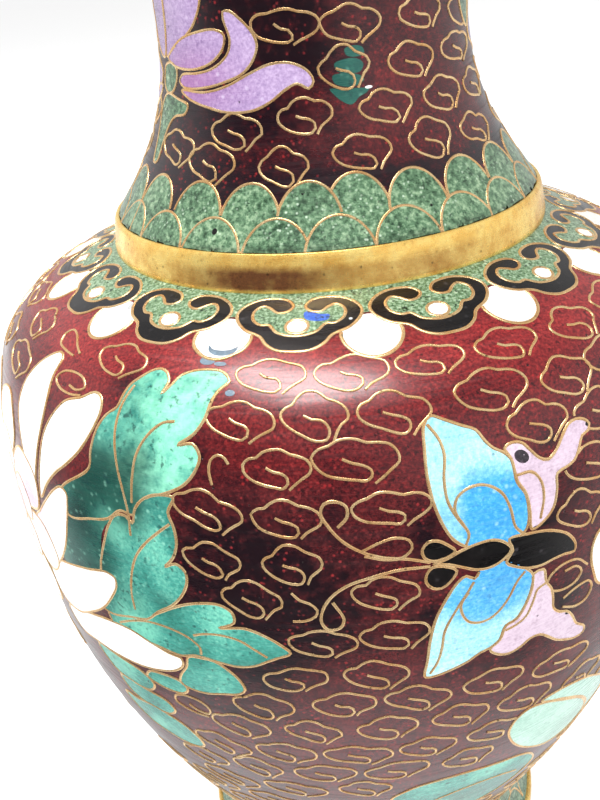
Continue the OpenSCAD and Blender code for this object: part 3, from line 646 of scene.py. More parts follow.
LEAVES = [
    [(-36.2, 25.3), (-36, 23.3), (-35.2, 20.5), (-34, 18.8), (-32.6, 17.8), (-32.3, 16.3), (-31.8, 15),
     (-30.6, 13.9), (-29.4, 13), (-28, 12.5), (-26.6, 12.8), (-25.6, 13.9), (-26, 15.4), (-25, 14.3),
     (-24, 13), (-22, 12.2), (-19.5, 11.9), (-17.5, 12.1), (-16.1, 13.2), (-17.3, 14.3), (-18, 15.5),
     (-18.5, 17.5), (-19.8, 19.3), (-21.9, 20.6), (-19.8, 20.3), (-18.7, 21.5), (-19.2, 23), (-20.8, 24.7),
     (-23.5, 26), (-26.5, 27), (-28.8, 29.5), (-31, 29.4), (-33.5, 31), (-37, 32), (-42, 33), (-43, 30)],
    [(-37.5, 40), (-36.5, 37.5), (-35, 34.5), (-33.5, 31.8), (-32, 30.2), (-30.3, 29.9), (-29.2, 30.6),
     (-28.5, 28.7), (-27, 27.2), (-25, 26.4), (-22.5, 26.4), (-23.4, 28.2), (-22.8, 30), (-22.7, 32),
     (-23.6, 34), (-25, 35.4), (-23.3, 34.7), (-22.1, 35.5), (-22.1, 37), (-23.2, 39), (-25, 40.8),
     (-27.4, 42.3), (-30, 44.3), (-33, 45), (-38, 46), (-41, 44)],
    [(-31, 44.4), (-27.2, 42.4), (-25.2, 41.3), (-23, 40.3), (-20.5, 39.6), (-18, 39.4), (-16.4, 40.2),
     (-16.3, 41.7), (-18.5, 42.8), (-15, 42.4), (-12.5, 43.2), (-10.5, 44.4), (-9.3, 45.6), (-11, 46.4),
     (-12.7, 47.2), (-14.5, 48.1), (-17, 48.6), (-19.5, 48.4), (-23, 48.1), (-25.5, 48.8), (-30, 48.4),
     (-36, 49), (-38, 46)],
    [(-24.4, 48.7), (-22.5, 48.4), (-20.3, 48.5), (-18.5, 49.6), (-17.2, 51), (-16.7, 52.6), (-17.6, 53.5),
     (-20.5, 54.2), (-23, 54.8), (-25.5, 54.8), (-27.2, 54.2), (-26.7, 52.6), (-25.2, 50.6)]]
LEAF_VEINS = [
    [(-31, 15), (-31.8, 17), (-32, 20), (-31.3, 23.5), (-30.2, 27), (-29.7, 29.4), (-29.8, 32.3)],
    [(-22.8, 18.2), (-24.5, 18.5), (-26.5, 20), (-28, 22.3), (-28.6, 25), (-28.9, 28)],
    [(-23.3, 29.6), (-25, 30.8), (-27.5, 32.8), (-29.5, 35), (-31, 38), (-31.8, 41), (-31.9, 43.4)],
    [(-22.7, 44.8), (-21, 44.2), (-18.5, 43.9), (-16, 44.3), (-14, 45.5), (-12.5, 46.5)],
    [(-36, 47), (-33.5, 45.8), (-31.3, 45), (-29, 44.6), (-26, 44.7), (-23.5, 45.4), (-22.1, 46.6),
     (-22.2, 47.7)]]
LOW_LOBES = [
    [(-28.5, 53.8), (-27, 54.2), (-26.4, 55.3), (-27.3, 56.3), (-29.5, 56.7), (-32, 56.5), (-34, 55.8),
     (-33, 54.4)],
    [(-45, 55), (-40, 54.8), (-35, 55.5), (-33.3, 57), (-34.5, 58.8), (-38, 59.4), (-43, 58.6)],
    [(-42, 59.6), (-36, 59.5), (-32, 60), (-31, 61.5), (-32.5, 63), (-36, 63.5), (-41, 62.6)],
    [(-44, 64.5), (-40, 64), (-36, 63.3), (-31, 64.5), (-28.5, 67), (-28.5, 69), (-31, 70), (-35, 70),
     (-41, 68.6)]]
PETALS = [
    [(-51.8, 34), (-54.5, 27), (-55.9, 22.5), (-55, 18.5), (-52.5, 15.5), (-50, 14.2), (-48.6, 14.7),
     (-48.3, 17), (-47.5, 20), (-47.7, 23), (-49, 27), (-50.6, 31)],
    [(-47.9, 27), (-46.9, 24), (-45.2, 21.2), (-43, 19), (-40, 18), (-37.5, 16.9), (-36, 17.3),
     (-35.4, 18.6), (-35.9, 20.5), (-38, 23.5), (-41, 26), (-44, 28), (-47, 30.5), (-49.6, 33.2)],
    [(-53.5, 37.5), (-51.5, 36), (-48, 33), (-45, 30.6), (-43, 29.6), (-41.8, 30), (-42, 31.8), (-43, 34.5),
     (-45, 38.5), (-48, 42), (-51.5, 44.6), (-54, 44)],
    [(-54, 45.2), (-49, 42.6), (-44, 41.2), (-40, 40.2), (-36, 39.2), (-34.5, 39.5), (-34.6, 40.8),
     (-36.2, 43), (-39, 45.8), (-43, 48.3), (-48, 50.6), (-53, 50.5)],
    [(-52, 52), (-43.5, 48.9), (-38, 47.7), (-34, 47.5), (-30.5, 48.4), (-27.5, 49.2), (-25.8, 49.4),
     (-25.8, 50.6), (-27.4, 52), (-30, 53), (-34, 53.9), (-40, 54.4), (-45, 54.6), (-50, 55)]]
FLOWER_AT = (-68.0, 39.0)

LEAF_SHADE = [
    (-42.1, 29.1), (-36.4, 29.5), (-31.9, 30.1), (-33.1, 31.1), (-35, 33.1), (-36.1, 36.1), (-37.3, 39.7),
    (-39.7, 40.3), (-45.6, 42.3), (-47, 38.5), (-46.5, 33), (-44.5, 30)]
RIGHT_TIP = [
    (33.7, 37.7), (32.8, 39), (32.6, 40.8), (33.3, 43.2), (34.7, 45.6), (38, 46.2), (42, 44.8), (44, 41.4),
    (42, 38), (38, 36.4)]
RIGHT_LOBES = [
    [(23, 64.5), (22.3, 67), (23.5, 70), (26, 73), (30, 76), (35, 78.5), (40, 79), (44, 77), (42, 73),
     (38, 69), (33, 66), (28, 63.6), (25, 63.2)],
    [(27.5, 62.8), (31, 62.5), (36, 63.5), (41, 66), (46, 70), (48, 75), (44.5, 77), (42.4, 73), (38.4, 69),
     (33, 65.6)]]
BOTTOM_LEAF = [
    (3, 79), (5, 77), (8, 75.5), (15, 74.8), (22, 75.5), (27, 76.5), (31, 79), (33, 83), (30, 87),
    (24, 89.5), (17, 90), (10, 88), (5, 84.5)]

NECK_PETALS = [
    [(-63.7, 19.1), (-56.6, 20.2), (-49.3, 21.3), (-44.3, 22.4), (-40.8, 23.8), (-38.8, 25.1), (-37.4, 28),
     (-39, 32), (-44, 35.5), (-51, 36.5), (-57, 34), (-61, 29), (-61.4, 25.2), (-62.2, 22)],
    [(-29.8, 23.2), (-29.6, 23.9), (-27, 23.9), (-23.4, 23), (-19.7, 21.6), (-18.4, 20.3), (-20.4, 18.7),
     (-24.1, 17.5), (-30.2, 16.7), (-39.5, 16), (-51, 15.9), (-53.6, 16.5), (-52, 17.2), (-43.5, 17.5),
     (-37.2, 17.9), (-32.2, 18.7), (-28.9, 19.8), (-28, 21.1), (-28.9, 22.2)],
    [(-52.3, 15.5), (-39.5, 15.5), (-30.2, 16.2), (-21.9, 17.4), (-14.2, 18.3), (-7.1, 18.2), (-2.2, 17.2),
     (-0.9, 16.2), (-2.5, 15.5), (-6, 16.1), (-10.3, 15.5), (-15, 14.4), (-20.8, 13.6), (-29.4, 13.4),
     (-38.4, 13.9), (-47.9, 14.7)],
    [(-62, 18.9), (-52.3, 21), (-41.8, 21.9), (-33.8, 22.1), (-30.2, 21.5), (-31, 20.2), (-35.7, 18.8),
     (-43, 18), (-51.8, 17.9), (-58.7, 18.3)]]

# One cloud drawn in mm, to the right and down, from its inner end to its free end
CLOUD = [
    (-1.2, -0.3), (-0.35, 0.12), (0.55, 0.35), (1.15, 0.85), (1.2, 1.5), (0.7, 1.95), (-0.2, 1.9),
    (-1.5, 1.5), (-2.85, 0.9), (-3.65, 0.1), (-3.8, -0.65), (-3.15, -1.3), (-2.3, -1.5), (-1.6, -2),
    (-0.6, -2.35), (0.5, -2.2), (1.4, -1.7), (2.3, -1.5), (3.25, -1.1), (3.75, -0.35), (3.6, 0.4),
    (2.85, 0.95), (2.1, 1.5), (1.4, 2.2)]

# ---- Tones: where a colour shades into another ----


def evenly(value):
    """A tone that is the same all over."""
    return lambda th, s: value + 0 * th


def bell(x, middle, width):
    """1 at the middle, and softly less on both sides of it."""
    return np.exp(-((x - middle) / width) ** 2)


def blob(th, s, at, size, amount=1.0, k=BODY_K):
    """A soft round spot of value round a place; sizes in mm across and down."""
    return amount * np.exp(-(((th - at[0]) * k / size[0]) ** 2 + ((s - at[1]) / size[1]) ** 2))


GROUND_SPOTS = [
    ((-15.5, 34.5), (6, 9.5), 1.15), ((-19.5, 21.5), (1.4, 1.6), 0.9), ((-9, 42), (7.5, 6.5), 0.75),
    ((-4, 34), (6, 7), 0.3), ((8.6, 30), (1.6, 3.2), 0.75), ((-1.8, 27.4), (1.1, 1.3), 0.7),
    ((9, 43), (1.8, 4), 0.5), ((26.5, 23.6), (1.5, 1.3), 0.9), ((24.6, 33.2), (1.6, 0.9), 0.9),
    ((28, 31), (2.2, 3), 0.5), ((28.5, 45), (2.6, 3), 0.6), ((-14, 50.5), (4, 3), 0.5),
    ((-21, 56.5), (6, 2.5), 0.45), ((-33, 15), (1.6, 2), 0.6), ((18, 51), (8, 1.6), 0.4)]
NECK_GROUND_SPOTS = [((-20, 23), (7, 5), 1), ((-10, 18.5), (7, 1.6), 0.7), ((-28, 12.6), (6.5, 1.4), 0.7)]


def blobs(th, s, spots, turns, k):
    """The sum of blobs, repeated at several turns of the vase."""
    return sum(blob(wrap(th - turn), s, *spot, k) for spot in spots for turn in turns)


def ground_dark(th, s):
    """Where the body's ground turns near-black: beside the leaves and round the butterfly."""
    low = 0.12 + 0.25 * np.clip((s - 27) / 8, 0, 1)
    return np.clip(low + blobs(th, s, GROUND_SPOTS, (0, BACK_TURN), BODY_K), 0, 1)


def neck_dark(th, h):
    """Where the neck's ground turns near-black: round the flower and above the scales."""
    bands = 0.75 * bell(h, 5.6, 1.5) + 0.3 * bell(h, 38, 12)
    low = 0.62 - 0.25 * np.sin(np.radians(2 * th))
    return np.clip(low + bands + blobs(th, h, NECK_GROUND_SPOTS, (0, 180), NECK_K), 0, 1)


def away_from(th, s, root, reach, width):
    """0 within `reach` mm of a wing's root, and 1 from `width` mm further out."""
    d = np.hypot((th - root[0]) * BODY_K, s - root[1])
    return np.clip((d - reach) / width, 0, 1)


def wing_top_tone(th, s):
    """Pale blue away from the wing's root and along its front edge."""
    outer = away_from(th, s, (16.8, 32.0), 5.9, 2.6) * np.clip((31.5 - s) / 2.0, 0, 1)
    return outer + 0.55 * (th < 13.2) * (s > 21)


def wing_low_tone(th, s):
    """Pale blue away from the wing's root."""
    return 0.12 + 0.8 * away_from(th, s, (16.6, 37.6), 5.4, 2.0)


LEAF_SHADOWS = [
    ((-33.5, 25.5), (6, 4.2), 1.1), ((-29.5, 29), (2, 3), 0.8), ((-39, 36), (4.5, 9), 1.1),
    ((-26, 41), (1.8, 1.6), 0.45), ((-27.5, 22.5), (2, 2.2), 0.55), ((-31, 42), (1.6, 3), 0.3)]


def leaf_tone(th, s):
    """Dark glass in the hollows of the leaves."""
    return 0.08 + sum(blob(th, s, *spot) for spot in LEAF_SHADOWS)


def leaf_painted_highlight(th, s):
    """Painted highlight: the tips of the upper leaf are painted paler, where the light falls on them."""
    return blob(th, s, (-21.5, 15.5), (7, 6), 0.62) + blob(th, s, (-22.5, 25), (3.5, 3.5), 0.35)


PETAL_SHADOWS = [((-54.5, 34), (4, 5), 0.75), ((-50, 37), (3, 3), 0.35), (FLOWER_AT, (7, 6), 0.9)]


def petal_tone(th, s):
    """Mauve at the roots of the white petals."""
    return sum(blob(th, s, *spot) for spot in PETAL_SHADOWS)


def neck_petal_tone(th, h):
    """Deeper lilac at the roots of the neck's petals."""
    return 0.12 + blob(th, h, (-48, 16.5), (6.5, 3), 0.9, NECK_K)


def shift_tone(tone, by=0.0, flip=None):
    """The same tone for an ornament turned round the vase, or mirrored about a line first."""
    def moved(th, s):
        t = th - by
        return tone(t if flip is None else 2 * flip - t, s)
    return moved


class Motif:
    """Cells and wires laid over one another in the order they are added.

    by: what is added is turned this far round the vase. flip: it is mirrored about this angle first."""

    def __init__(self, profile, k, by=0.0):
        self.profile, self.k, self.by, self.flip = profile, k, by, None
        self.cells, self.lines = [], []

    def path(self, points, step, closed=True):
        if self.flip is not None:
            points = mirrored(points, self.flip)
        return smooth(turned(points, self.by), self.k, step, closed)

    def add(self, name, loop, tone=None, dark=None, lift=0.0, grid=1.0, wired=True, closed=True):
        """Adds a cell from an outline that is already cut into steps."""
        tone, dark = [f and shift_tone(f, self.by, self.flip) for f in (tone, dark)]
        self.cells.append((builds[name], loop, lift, grid, tone, dark))
        if wired:
            self.lines.append((loop, closed, len(self.cells)))

    def cell(self, name, points, tone=None, dark=None, step=0.5, **more):
        self.add(name, self.path(points, step), tone, dark, **more)

    def dot(self, name, th, s, across, down, tone=None, lift=0.0):
        """A small oval without a wire; its radii are in mm."""
        outline = oval(th, s, across / self.k, down)
        self.cell(name, outline, tone, step=0.2, lift=lift, grid=0.4, wired=False)

    def veins(self, lines):
        """Adds wires that end inside the cells laid so far."""
        for points in lines:
            self.lines.append((self.path(points, 0.45, closed=False), False, len(self.cells)))

    def loops(self):
        return [cell[1] for cell in self.cells]

    def fill(self):
        """Makes the cells, each a little above the one before."""
        for order, (build, loop, lift, grid, tone, dark) in enumerate(self.cells):
            patch(build, self.profile, self.k, loop, 0.0012 * order - 0.02 + lift, grid, tone, dark)

    def build(self, wires, width=WIRE):
        """Makes the cells, and each wire where no later cell covers it; gives back the outlines."""
        self.fill()
        for path, closed, rank in self.lines:
            above = [shrunk(loop, self.k, 0.12) for loop in self.loops()[rank:]]
            for run, ring in pieces_outside(path, above, closed):
                sweep(builds[wires], self.profile, run, ring, width)
        return self.loops()


def shrunk(loop, k, by):
    """A closed outline pulled in by `by` mm."""
    p = loop * [k, 1]
    run = np.roll(p, -1, axis=0) - np.roll(p, 1, axis=0)
    side = np.column_stack([-run[:, 1], run[:, 0]]) / (np.linalg.norm(run, axis=1)[:, None] + 1e-9)
    area = np.sum(p[:, 0] * np.roll(p[:, 1], -1) - np.roll(p[:, 0], -1) * p[:, 1])
    return (p + side * (by if area > 0 else -by)) / [k, 1]


# Each piece's material, slot and the CAD node that it replaces
FINISH = {
    "wings": (BLUE, "blue_enamel", "butterfly_wings"),
    "insect_body": (BLACK, "black_enamel", "butterfly_body"),
    "tails": (PINK, "pink_enamel", "butterfly_tails"),
    "butterfly_wire": (WIRE_GOLD, "gilt_wire", "butterfly_wires"),
    "leaves": (LEAF, "leaf_enamel", "leaves"),
    "petals": (PETAL, "petal_enamel", "petals"),
    "plant_wire": (WIRE_GOLD, "gilt_wire", "plant_wires"),
    "neck_petals": (LILAC, "lilac_enamel", "neck_petals"),
    "dark_spots": (LEAF, "leaf_enamel", None),
    "pale_spots": (WHITE, "white_enamel", None),
    "pits": (BLACK, "black_enamel", None),
    "pale_lobes": (PALE_LEAF, "leaf_enamel", None),
    "neck_leaf": (GREEN, "green_enamel", None),
    "neck_wire": (WIRE_GOLD, "gilt_wire", "neck_wires"),
    "bands": (BLACK, "black_enamel", "lappet_bands"),
    "fields": (LAPPET_GREEN, "green_enamel", "lappet_fields"),
    "ovals": (WHITE, "white_enamel", "lappet_ovals"),
    "lappet_wire": (WIRE_GOLD, "gilt_wire", "lappet_wires"),
    "pendants": (WHITE, "white_enamel", "pendants"),
    "pendant_wire": (WIRE_GOLD, "gilt_wire", "pendant_wires"),
    "ring": (LAPPET_GREEN, "green_enamel", "shoulder_ring"),
    "scales": (GREEN, "green_enamel", "neck_scales"),
    "scale_wire": (WIRE_GOLD, "gilt_wire", "scale_wires")}
builds = {name: Build() for name in FINISH}

# ---- Body: butterflies, flowers and leaves ----


def butterfly(by):
    """Two-tone wings, pink tails, a black body and two long feelers."""
    m = Motif(BODY, BODY_K, by)
    m.cell("tails", TAIL_TOP)
    m.cell("tails", EYE_SPOT, evenly(1), step=0.3, grid=0.5, wired=False)
    m.cell("tails", TAIL_LOW)
    m.veins(TAIL_VEINS)
    m.cell("wings", WING_TOP, wing_top_tone)
    m.cell("wings", WING_LOW, wing_low_tone)
    m.veins(WING_VEINS)
    for points in (ABDOMEN, EYE_TOP, EYE_LOW, THORAX):
        m.cell("insect_body", points)
    m.veins(FEELERS)
    return m.build("butterfly_wire", BUTTERFLY_WIRE)


def flower_side(m, petals=(0, 1, 4, 3, 2), leaves=True):
    """Half of a flower: cut leaves and long petals."""
    if leaves:
        m.cell("leaves", LEAF_SHADE, evenly(0.85), wired=False)
        for points in LOW_LOBES:
            m.cell("leaves", points, leaf_tone)
        for i in (3, 2, 0, 1):
            # The upper leaf's 'dark' values are a painted highlight: its tips are painted pale green.
            m.cell("leaves", LEAVES[i], leaf_tone, leaf_painted_highlight if i == 0 else None)
        m.veins(LEAF_VEINS)
    for i in petals:
        m.cell("petals", PETALS[i], petal_tone)


# How many petals stand in each ring of a flower's middle, how far they reach in mm, half their angle
PETAL_RINGS = ((9, 15.5, 19), (7, 10, 24), (5, 5.6, 34))
# A short petal, as shares of its reach and of half its angle
PETAL_SHAPE = ((0.12, 0.4), (0.55, 1), (0.86, 0.8), (1, 0), (0.86, -0.8), (0.55, -1), (0.12, -0.4))


def flower_middle(m):
    """The closed petals round a flower's heart, and the heart."""
    for ring, (count, reach, half) in enumerate(PETAL_RINGS):
        for i in range(count):
            a = math.radians(360 / count * (i + 0.5 * ring) + 12)
            spread = math.radians(half)
            points = []
            for u, v in PETAL_SHAPE:
                b = a + v * spread
                points.append((FLOWER_AT[0] + reach * u * math.cos(b) / BODY_K,
                               FLOWER_AT[1] + 1.15 * reach * u * math.sin(b)))
            m.cell("petals", points, petal_tone)


def flowers():
    """A flower at each side of the front; the right one shows less of its left half."""
    loops = []
    for by in (0.0, -2 * FLOWER_AT[0]):
        m = Motif(BODY, BODY_K)
        if by:
            m.cell("petals", RIGHT_TIP)
            m.flip = 0.0
            flower_side(m, (0, 3, 2), leaves=False)
        else:
            m.flip = FLOWER_AT[0]
            flower_side(m)
        m.by, m.flip = by, None
        flower_side(m)
        flower_middle(m)
        loops += m.build("plant_wire", PLANT_WIRE)
    return loops


def low_sprays():
    """Leaves and pale lobes near the foot of the belly, three times round."""
    loops = []
    for by in (0.0, 122.0, 241.0):
        m = Motif(BODY, LOW_K, by)
        m.cell("leaves", BOTTOM_LEAF, lambda th, s: 0.1 + blob(th, s, (17, 85), (5, 3), 0.7))
        m.veins([[(7, 86), (12, 82), (18, 80.5), (24, 81), (29, 83)]])
        for points in RIGHT_LOBES:
            m.cell("pale_lobes", points)
        loops += m.build("plant_wire", PLANT_WIRE)
    return loops


def copies(loops):
    """The outlines with copies a full turn either way, so that a test near the back seam finds them."""
    return [loop + [turn, 0] for loop in loops for turn in (-360.0, 0.0, 360.0)
            if -240 < loop[:, 0].mean() + turn < 240]


body_loops = copies(butterfly(0.0) + butterfly(BACK_TURN) + flowers() + low_sprays())

# ---- Clouds ----

# How far one cloud differs from the next: its lean, its height, a bulge and where the bulge is
CLOUD_SPANS = ((-0.10, 0.10), (0.93, 1.07), (0.0, 0.16), (0, 6.3))
# How far, in mm, each of its points is off
CLOUD_LOOSE = 0.06
# A stretch of a cloud with no more steps than this is left out
SHORTEST_RUN = 6


def cloud(at, profile, size, tilt):
    """One cloud's path, with the small differences of hand-bent wire."""
    r = float(profile.read(at[1])[0])
    a = math.radians(tilt)
    points = []
    lean, squat, bulge, phase = [rng.uniform(*span) for span in CLOUD_SPANS]
    for x, y in CLOUD:
        swell = 1 + bulge * math.sin(2 * math.atan2(y, x) + phase)
        x, y = (x + lean * y) * size * swell, y * size * squat * swell
        x, y = [v + rng.uniform(-CLOUD_LOOSE, CLOUD_LOOSE) for v in (x, y)]
        x, y = x * math.cos(a) - y * math.sin(a), x * math.sin(a) + y * math.cos(a)
        points.append((at[0] + math.degrees(x / r), at[1] + y * profile.sign))
    return smooth(points, math.radians(r), 0.45, closed=False)


def lay_clouds(build, places, profile, loops, size=1.0, allow=0.45):
    """Adds clouds at places, cut where an ornament covers them, or left out if too much would go.

    allow: the share of a cloud that may be covered."""
    for at in places:
        path = cloud(at, profile, size * rng.uniform(0.95, 1.05), rng.uniform(-5, 5))
        runs = pieces_outside(path, loops, False)
        if sum(len(run) for run, _ in runs) >= (1 - allow) * len(path):
            for run, _ in runs:
                if len(run) > SHORTEST_RUN:
                    sweep(build, profile, run)


FRONT_CLOUDS = [
    (-62.9, 13), (-36.1, 12.5), (-10.1, 12.5), (1.6, 12.6), (13.3, 12.4), (25.7, 12.6), (38.6, 13.2),
    (-61.4, 18.2), (-13.7, 17.7), (-3.7, 17.3), (6.6, 17.6), (20.1, 17.2), (31.8, 18.3), (-8.7, 22.6),
    (1.1, 22), (25, 21.8), (35, 23), (-17.9, 27.5), (-7.9, 28), (4.9, 27.4), (32.9, 28.4), (-18.1, 33.6),
    (-7.7, 33.5), (30.4, 33.5), (-13.4, 38.3), (3.4, 37.7), (-5, 44.2), (4.3, 43.6), (-9.3, 50),
    (1.6, 49.5), (-14.6, 55.5), (-3.1, 54.3), (7.1, 54.3), (17.9, 54.4), (29.6, 56), (-19.1, 60.4),
    (-7.9, 59.8), (2.7, 59.4), (13.4, 59.4), (23.9, 60.3), (35.4, 62.2), (-23.7, 66.2), (-13, 65.2),
    (-1.8, 65), (8.7, 64.8), (19.6, 65.2), (-29.6, 72.2), (-18.9, 70.6), (-7.6, 70), (3.9, 69.8),
    (15.7, 70.2), (-26.4, 77.5), (-13.6, 76), (-1.4, 74.7)]
HALF_CLOUDS = [
    [(-17, 24.4), (-17.4, 23), (-17.2, 21.8), (-16.3, 21.2), (-15.3, 21.5), (-14.8, 22.1)],
    [(0.9, 31.9), (2.9, 31.1), (5, 30.7), (6.6, 31.2), (6.9, 32.2), (5.6, 33.2), (3.6, 33.2), (1.1, 32.5)],
    [(-8.2, 36.9), (-7.2, 37.9), (-6.1, 38.3), (-5.2, 39.2), (-5.5, 40.1), (-6.8, 40.7), (-8.4, 40.8)],
    [(27.9, 40.9), (29.8, 40.9), (30.9, 42), (29.9, 43.2), (27.2, 43.4), (25.2, 42.3), (25.4, 40.8),
     (27.4, 39.8), (30, 40), (31.9, 41.5)],
    [(28, 44.9), (30, 44.2), (32.4, 44.1), (33.2, 45.2), (32.4, 46.8), (30.4, 47.1), (28, 46.2)],
    [(-45.4, 13.4), (-47.5, 12.6), (-50, 11.4), (-52, 11.1), (-53, 12), (-52.2, 13.2), (-49.5, 13.7),
     (-46.5, 13.9)],
    [(-43.5, 17.2), (-41.6, 17.4), (-40.1, 16.8), (-41.2, 15.9), (-44, 15.6), (-46.5, 16.1), (-47.3, 17.1),
     (-45.5, 17.9), (-42.5, 18.1), (-40.2, 17.8)],
    [(-27.2, 58.4), (-26, 59.2), (-24, 59.3), (-23.6, 58.2), (-25, 57), (-27.5, 56.8), (-29.4, 57.6),
     (-29.6, 58.8), (-27, 59.9), (-24.2, 60)]]


def rule_places(profile, rows, pitch, fixed, window, gap):
    """Places in staggered rows all round, clear of the places that are fixed and of their window."""
    places = []
    for i, s in enumerate(rows):
        r = float(profile.read(s)[0])
        count = int(round(2 * math.pi * r / pitch))
        for j in range(count):
            th = wrap(360 / count * (j + 0.5 * (i % 2)))
            at = (th + rng.uniform(-0.6, 0.6), s + rng.uniform(-0.35, 0.35))
            (t0, t1), (s0, s1) = window
            if t0 < at[0] < t1 and s0 < at[1] < s1:
                continue
            if all(math.hypot(math.radians(at[0] - q[0]) * r, (at[1] - q[1]) * 1.5) > gap for q in fixed):
                places.append(at)
    return places


cloud_builds = [Build() for _ in range(5)]


def body_clouds():
    """The clouds read from the picture, and even rows of them over the rest in two pieces."""
    rows = np.arange(12.6, BODY_END - 4, 5.35)
    around = rule_places(BODY, rows, 9.2, FRONT_CLOUDS, ((-58, 37), (0, 79)), 7.0)
    around.sort(key=lambda at: at[0])
    middle = len(around) // 2
    lay_clouds(cloud_builds[0], FRONT_CLOUDS, BODY, body_loops, allow=0.75)
    for points in HALF_CLOUDS:
        for run, _ in pieces_outside(smooth(points, BODY_K, 0.5, closed=False), body_loops, False):
            sweep(cloud_builds[0], BODY, run)
    lay_clouds(cloud_builds[1], around[:middle], BODY, body_loops)
    lay_clouds(cloud_builds[2], around[middle:], BODY, body_loops)


body_clouds()

# ---- Shoulder: cloud-collar lappets, pendants and the green ring ----


def lappet_ring():
    """Cloud-shaped lappets under the collar, with a white pendant between each two."""
    edges = []
    for i in range(LAPPETS):
        m = Motif(BODY, SHOULDER_K, wrap(LAPPET_FIRST + i * PITCH))
        edges.append(m.path(LAPPET_EDGE, 0.5))
        m.cell("fields", FIELD, grid=0.9, wired=False)
        if i == 0:
            m.cell("fields", REPAIR, evenly(1), step=0.3, lift=0.002, grid=0.6, wired=False)
        m.cell("ovals", OVAL, grid=0.8)
        m.cell("bands", LAPPET_LOOP, step=0.4, grid=0.8)
        m.build("lappet_wire", LAPPET_WIRE)
    hidden = copies([shrunk(edge, SHOULDER_K, 0.1) for edge in edges])
    for i in range(LAPPETS):
        last = i == LAPPETS - 1
        m = Motif(BODY, SHOULDER_K, wrap(LAPPET_FIRST + (i + 0.5) * PITCH))
        pendant = [(x, y - 0.3 * last * (y > 9)) for x, y in PENDANT_U]
        m.cell("pendants", [(0, 4.4)] + pendant, step=0.45, lift=-0.012, grid=0.8, wired=False)
        wire = m.path(pendant, 0.45, closed=False)
        if last:
            m.by = 0.0
            m.cell("pendants", CHIP, evenly(1), step=0.3, lift=-0.008, grid=0.6, wired=False)
        m.fill()
        for run, ring in pieces_outside(wire, hidden, False):
            sweep(builds["pendant_wire"], BODY, run, ring, PENDANT_WIRE)


lappet_ring()
lathe(builds["ring"], layer_rows(BODY, 0.0, 4.1, 0.3, -0.04), 540)

# ---- Neck: scales, flowers and clouds ----


def spread(seen, count):
    """Angles seen at the front, with the rest of the ring filled evenly."""
    rest = count - len(seen)
    gap = (360 - (seen[-1] - seen[0])) / (rest + 1)
    return list(seen) + [seen[-1] + gap * (i + 1) for i in range(rest)]


UPPER = spread((-54.4, -36.3, -20.0, -4.4, 8.0, 23.8, 40.6), 22)
LOWER = spread((-46.3, -29.4, -12.5, 2.4, 18.6, 35.0, 50.6), 22)


def grime(th, h):
    """Dark dirt where the neck's enamel meets the collar."""
    return 0.9 * bell(h, -0.45, 0.3) + 0 * th


def scale_loop(th, middle, r):
    """A scale: a round head over straight sides that run down to the collar."""
    base = float(NECK.read(1.0)[0])
    k = math.radians(base) * 0.97
    reach = 0.06 if middle < 0 else 0.0
    arc = [(th + r * math.cos(a) / k, middle + r * math.sin(a))
           for a in np.linspace(reach, math.pi - reach, 13)]
    if middle > 0:
        arc = [(th + r * 0.94 / k, -0.9)] + arc + [(th - r * 0.94 / k, -0.9)]
    return arc


def scale_rows():
    """Two staggered rows of scales. One of the upper row is tall, and stands behind the others."""
    m = Motif(NECK, SCALE_K)
    tall = 4
    order = sorted(range(len(UPPER)), key=lambda i: i != tall)
    loops = [scale_loop(UPPER[i], 2.9 if i == tall else 2.45, 3.75) for i in order]
    loops += [scale_loop(th, -1.0, 3.75) for th in LOWER]
    for points in loops:
        m.add("scales", m.path(points, 0.45, closed=False), dark=grime, grid=0.8, closed=False)
    return m.build("scale_wire", SCALE_WIRE)


UPPER_PETALS = [
    [(-66, 19), (-62, 25), (-60, 31), (-63, 36), (-70, 38), (-78, 34), (-80, 27), (-76, 21)],
    [(-70, 17), (-76, 18.5), (-86, 20), (-96, 21.5), (-104, 20.5), (-108, 18), (-100, 16.4), (-88, 15),
     (-76, 14.5)],
    [(-70, 15.5), (-78, 13.4), (-90, 12), (-99, 12.6), (-104, 15), (-96, 14.6), (-84, 14.4), (-76, 15.6)]]
NECK_LEAVES = [
    [(-65.4, 18), (-59, 18.4), (-55.7, 17.7), (-56, 16.5), (-58.7, 15.3), (-63.6, 15), (-66.9, 16)],
    [(-64.4, 14.8), (-54.5, 14.5), (-48.3, 13.9), (-49.7, 13), (-56, 12.5), (-59.7, 11.3), (-61.7, 9.2),
     (-62.2, 7.3), (-65, 7), (-67.5, 9.5), (-68.5, 13)],
    [(-66, 36), (-60, 38), (-54, 41), (-50, 45), (-52, 50), (-58, 53), (-64, 51), (-67, 45), (-69, 40)],
    [(-74, 37), (-71, 43), (-72, 49), (-77, 53), (-83, 50), (-84, 44), (-80, 39)],
    [(-110, 19), (-104, 22), (-100, 26), (-103, 30), (-110, 31), (-116, 27), (-117, 22)]]


def neck_flowers():
    """A lilac flower with green leaves on each side of the neck."""
    loops = []
    for by in (0.0, 180.0):
        m = Motif(NECK, NECK_K, by)
        for points in NECK_LEAVES:
            m.cell("neck_leaf", points)
        for points in UPPER_PETALS + NECK_PETALS:
            m.cell("neck_petals", points, neck_petal_tone)
        loops += m.build("neck_wire")
    return loops


NECK_SPOTS = [
    [(9.7, 19.1), (12.6, 19.4), (15.7, 19.1), (16.1, 18.5), (13.1, 18.2), (10.1, 18.5)],
    [(6, 17.7), (9.4, 18.1), (13.7, 18), (15.5, 17.4), (14.4, 16.7), (10.5, 16.6), (6.7, 17)],
    [(5.1, 16.5), (9.1, 16.7), (13.9, 16.3), (15.3, 15.8), (12.8, 15.3), (8.6, 15.3), (5.5, 15.8)],
    [(3.9, 15.2), (8.5, 15.1), (13.4, 15), (16.6, 14.8), (15.3, 14.4), (13.1, 14.1), (10.4, 13.4),
     (7.6, 13.8), (4.9, 14.7)]]


